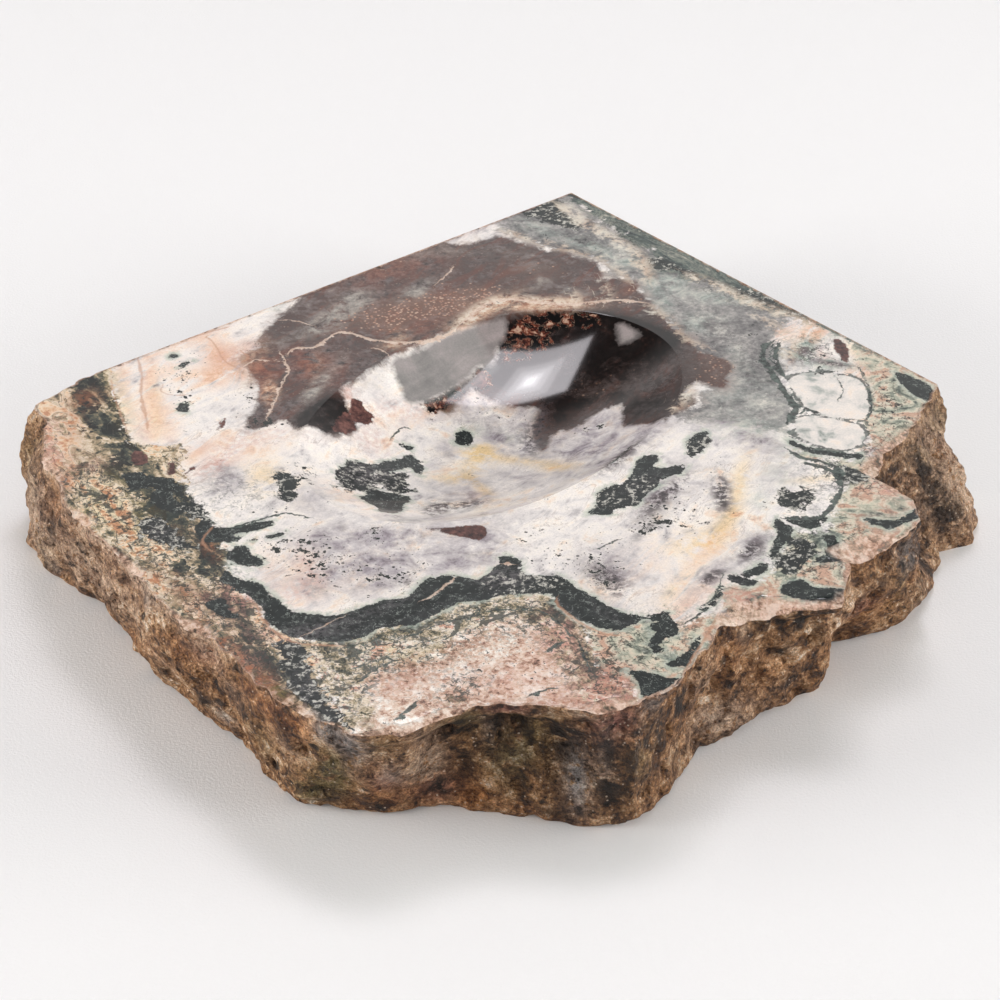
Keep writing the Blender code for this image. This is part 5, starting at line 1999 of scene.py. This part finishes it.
@dataclass(frozen=True)
class PolishedJasper:
    """The ground and polished top and dish."""

    name: str = "polished_jasper"
    refraction: float = 1.54
    polished_roughness: float = 0.07
    chipped_roughness: float = 0.78
    relief: float = 0.9

    def material(self) -> bpy.types.Material:
        """Make the finish: the stone's figure under a smooth polish, dull in chips.

        Returns:
            The material.
        """
        desk = MaterialDesk(self.name)
        painter = JasperPainter(desk, JasperFigure())
        coarse = painter.coarseness()
        shader = desk.shader
        shader.inputs["IOR"].default_value = self.refraction
        desk.put(shader.inputs["Base Color"], painter.paint())
        desk.put(shader.inputs["Roughness"],
                 desk.step(coarse, 0.0, 1.0, self.polished_roughness, self.chipped_roughness))
        height = desk.math("MULTIPLY", coarse, desk.noise(1.6, 5, 0.7))
        desk.put(shader.inputs["Normal"], desk.bump(height, self.relief))
        return desk.material


@dataclass(frozen=True)
class BrokenRind:
    """The weathered brown wall, left as it broke."""

    name: str = "broken_rind"
    roughness: float = 0.78
    refraction: float = 1.5
    flattening: float = 0.85
    rock_relief: float = 3.4
    block_relief: float = 1.2
    crust_relief: float = 0.9

    def material(self) -> bpy.types.Material:
        """Make the finish: brown crust over mottled stone, with pits darkened by painted shade, and
        grains.

        Returns:
            The material.
        """
        d = MaterialDesk(self.name)
        d.place = d.stretch(0.0, 1.0, 1.0, self.flattening)
        tones = JasperFigure()
        p = JasperPainter(d, tones)
        rock = d.noise(2.6, 5, 0.74)
        blocks = d.grains(4.4, d.stirred(1.6, 1.6))
        crust = d.grains(1.3, d.stirred(0.7, 0.9))
        value = p.total(p.contrast(p.blend(p.lumps, rock, 0.4), 2.0), p.speckle(crust, 0.24),
                        p.speckle(p.grain, 0.30), p.speckle(blocks, 0.30),
                        p.contrast(p.cloud, 1.2), -0.53)
        colour = d.ramp(value, *tones.rind)
        # The pale tint, read from the wall_pale stains, is partly pale stone and partly painted
        # light on the flanks.
        for name, noise, low, high, *stops in (
                ("olive", p.pools, 0.30, 0.44, (0.2, (50, 46, 24)), (0.8, (134, 122, 76))),
                ("rust", p.pools, 0.30, 0.44, (0.2, (112, 62, 30)), (0.8, (216, 152, 96))),
                ("red", p.lumps, 0.32, 0.44, (0.2, (92, 46, 36)), (0.7, (184, 126, 110))),
                ("grey", p.fine, 0.34, 0.48, (0.2, (84, 78, 76)), (0.7, (176, 168, 164))),
                ("pale", p.fine, 0.36, 0.50, (0.1, (134, 98, 72)), (0.7, (222, 192, 166)))):
            colour = p.tint(colour, "wall_" + name, noise, low, high, d.ramp(value, *stops))
        # Painted shade and dark stone: darkens the shaded front and right of the wall, the shadow
        # under the overhanging rim and the fissures, as well as dark pits.
        colour = p.tint(colour, "wall_dark_and_shade", p.lumps, 0.62, 0.46, (34, 22, 14))
        colour = d.mix(1.0, colour, d.step(p.grit, 0.32, 0.68, 0.58, 1.30), "MULTIPLY")
        # Painted shade: the pits and the low parts of the rock relief are darkened almost to black,
        # as shade inside the wall's cavities.
        shaded_hollows = p.dots(d.grains(4.6, d.stirred(1.4, 2.0)), (0.36, 0.22), (0.80, 0.84))
        shaded_holes = d.math("MAXIMUM", shaded_hollows, d.step(rock, 0.41, 0.35))
        colour = d.mix(p.times(shaded_holes, 0.88), colour, (30, 18, 10))
        crystals = p.dots(p.grain, (0.36, 0.2), (0.80, 0.86), share=0.8)
        colour = d.mix(crystals, colour, (214, 192, 172))
        d.shader.inputs["Roughness"].default_value = self.roughness
        d.shader.inputs["IOR"].default_value = self.refraction
        d.put(d.shader.inputs["Base Color"], colour)
        relief = d.bump(blocks.outputs["Distance"], self.block_relief,
                        d.bump(rock, self.rock_relief))
        relief = d.bump(crust.outputs["Distance"], self.crust_relief, relief)
        d.put(d.shader.inputs["Normal"], relief)
        return d.material


@dataclass(frozen=True)
class SawnJasper:
    """The two sawn back faces and the underside: the figure under fine saw marks."""

    name: str = "sawn_jasper"
    roughness: float = 0.42
    refraction: float = 1.52
    relief: float = 0.05

    def material(self) -> bpy.types.Material:
        """Make the finish: the stone's figure, satin, with faint saw marks.

        Returns:
            The material.
        """
        desk = MaterialDesk(self.name)
        shader = desk.shader
        shader.inputs["Roughness"].default_value = self.roughness
        shader.inputs["IOR"].default_value = self.refraction
        desk.put(shader.inputs["Base Color"], JasperPainter(desk, JasperFigure()).paint())
        marks = desk.noise(0.5, 2, 0.5, 0.0, desk.stretch(SAW_CUTS[0][0], 1.0, 30.0))
        desk.put(shader.inputs["Normal"], desk.bump(marks, self.relief))
        return desk.material


@dataclass(frozen=True)
class Softbox:
    """One soft flat light: where it hangs, its size and power, and where it points."""

    name: str
    place: Place
    size: Span
    power: float
    colour: Colour = (255, 254, 252)
    aim: Place = (0.0, 0.0, 0.0)

    def hang(self) -> None:
        """Put the light in the scene, its face turned to the point it aims at."""
        lamp = bpy.data.lights.new(self.name, "AREA")
        lamp.shape = "RECTANGLE"
        lamp.size, lamp.size_y = self.size
        lamp.energy = self.power
        lamp.color = linear(self.colour)[:3]
        light = bpy.data.objects.new(self.name, lamp)
        bpy.context.scene.collection.objects.link(light)
        x, y, z = np.array(self.place) - np.array(self.aim)
        light.location = self.place
        light.rotation_euler = (math.atan2(math.hypot(x, y), z), 0.0, math.atan2(x, -y))


@dataclass
class Studio:
    """Floor, lights and camera. Places are in metres, the camera in millimetres."""

    camera_distance: float = 662.21
    camera_elevation: float = 33.0
    camera_field: float = 20.0
    sensor_width: float = 36.0
    target: Place = (0.0, -34.0, 31.0)
    floor_half_width: float = 3.0
    key_aim: Place = (-0.161, -0.105, 0.648)
    key_colour: Colour = (255, 252, 255)
    key_glows: tuple[Span, ...] = ((0.28, 0.55), (0.19, 0.30), (0.11, 0.14), (0.055, 0.06))
    dome: tuple[tuple[float, Place], ...] = (
        (0.45, (1.0, 0.99, 0.98)), (0.72, (0.10, 0.10, 0.10)))

    def floor(self) -> bpy.types.Object:
        """Lay a wide pale floor under the stone.

        Returns:
            The floor.
        """
        half = self.floor_half_width
        mesh = bpy.data.meshes.new("floor")
        corners = [(-half, -half, 0), (half, -half, 0), (half, half, 0), (-half, half, 0)]
        mesh.from_pydata(corners, [], [(0, 1, 2, 3)])
        piece = bpy.data.objects.new("floor", mesh)
        bpy.context.scene.collection.objects.link(piece)
        desk = MaterialDesk("pale_floor")
        desk.put(desk.shader.inputs["Base Color"], (237, 236, 236))
        desk.shader.inputs["Roughness"].default_value = 0.6
        desk.put(desk.shader.inputs["Normal"], desk.bump(desk.noise(0.7, 2, 0.7), 0.10))
        mesh.materials.append(desk.material)
        return piece

    def lights(self) -> list[Softbox]:
        """List the lights: a key with a glowing middle, and soft panels round about.

        Returns:
            The lights, not yet hung.
        """
        boxes = [Softbox("key_softbox", (0.072, 0.672, 1.232), (0.611, 0.43), 5.6,
                         (255, 250, 255), self.key_aim)]
        for number, (size, power) in enumerate(self.key_glows, start=1):
            boxes.append(Softbox(f"key_glow_{number}", (0.0265, 0.700 - 0.001 * number, 1.178),
                                 (size, size), power, self.key_colour, self.key_aim))
        return boxes + [
            Softbox("front_fill", (0.0, -1.3, 1.6), (2.2, 1.4), 9.2),
            Softbox("left_panel", (-1.4, -0.2, 0.34), (1.0, 0.5), 17.5),
            Softbox("right_panel", (1.4, -0.1, 0.34), (1.0, 0.5), 16.0),
            Softbox("high_panel", (0.70, 0.68, 1.4), (0.55, 0.66), 1.6, (244, 255, 250))]

    def sky(self) -> None:
        """Surround the stone with white near the horizon, dimmer overhead and behind."""
        world = bpy.data.worlds.new("studio")
        bpy.context.scene.world = world
        world.use_nodes = True
        desk = NodeDesk(world.node_tree, "Generated", 1.0)
        split = desk.node("SeparateXYZ", Vector=desk.place)
        ahead, up = split.outputs["Y"], split.outputs["Z"]
        dome = desk.node("ValToRGB")
        for element, (position, light) in zip(dome.color_ramp.elements, self.dome):
            element.position = position
            element.color = (*light, 1.0)
        desk.put(dome.inputs[0], up)
        behind = desk.math("MULTIPLY", desk.step(ahead, 0.35, 0.75),
                           desk.step(up, 0.50, 0.34, 0.0, 0.68))
        back = desk.tree.nodes["Background"]
        desk.put(back.inputs["Color"], desk.mix(behind, dome.outputs[0], (0, 0, 0)))
        back.inputs["Strength"].default_value = 0.93

    def camera(self) -> None:
        """Set the camera at the photograph's viewing angle."""
        data = bpy.data.cameras.new("camera")
        data.sensor_width = self.sensor_width
        data.lens = self.sensor_width / 2 / math.tan(math.radians(self.camera_field / 2))
        eye = bpy.data.objects.new("camera", data)
        bpy.context.scene.collection.objects.link(eye)
        tilt = math.radians(self.camera_elevation)
        x, y, z = self.target
        eye.location = (x * MM, (y - self.camera_distance * math.cos(tilt)) * MM,
                        (z + self.camera_distance * math.sin(tilt)) * MM)
        eye.rotation_euler = (math.pi / 2 - tilt, 0.0, 0.0)
        bpy.context.scene.camera = eye

    def build(self) -> int:
        """Set up the floor, the sky, the lights and the camera.

        Returns:
            The number of lights.
        """
        bpy.context.scene.view_settings.view_transform = "Standard"
        self.floor()
        self.sky()
        boxes = self.lights()
        for box in boxes:
            box.hang()
        self.camera()
        return len(boxes)


def main() -> None:
    """Build the stone and its studio, and report each piece."""
    logging.basicConfig(level=logging.INFO, format="%(name)s: %(message)s")
    slab = JasperSlab()
    stone = slab.build()
    slab.dress(stone)
    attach(stone, "root")
    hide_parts("stone_tray")
    LOG.info("%s: %d faces, %d figure layers", stone.name, len(stone.data.polygons), len(FIGURE))
    lights = Studio().build()
    LOG.info("studio: floor, %d soft lights, camera", lights)


if __name__ == "__main__":
    main()
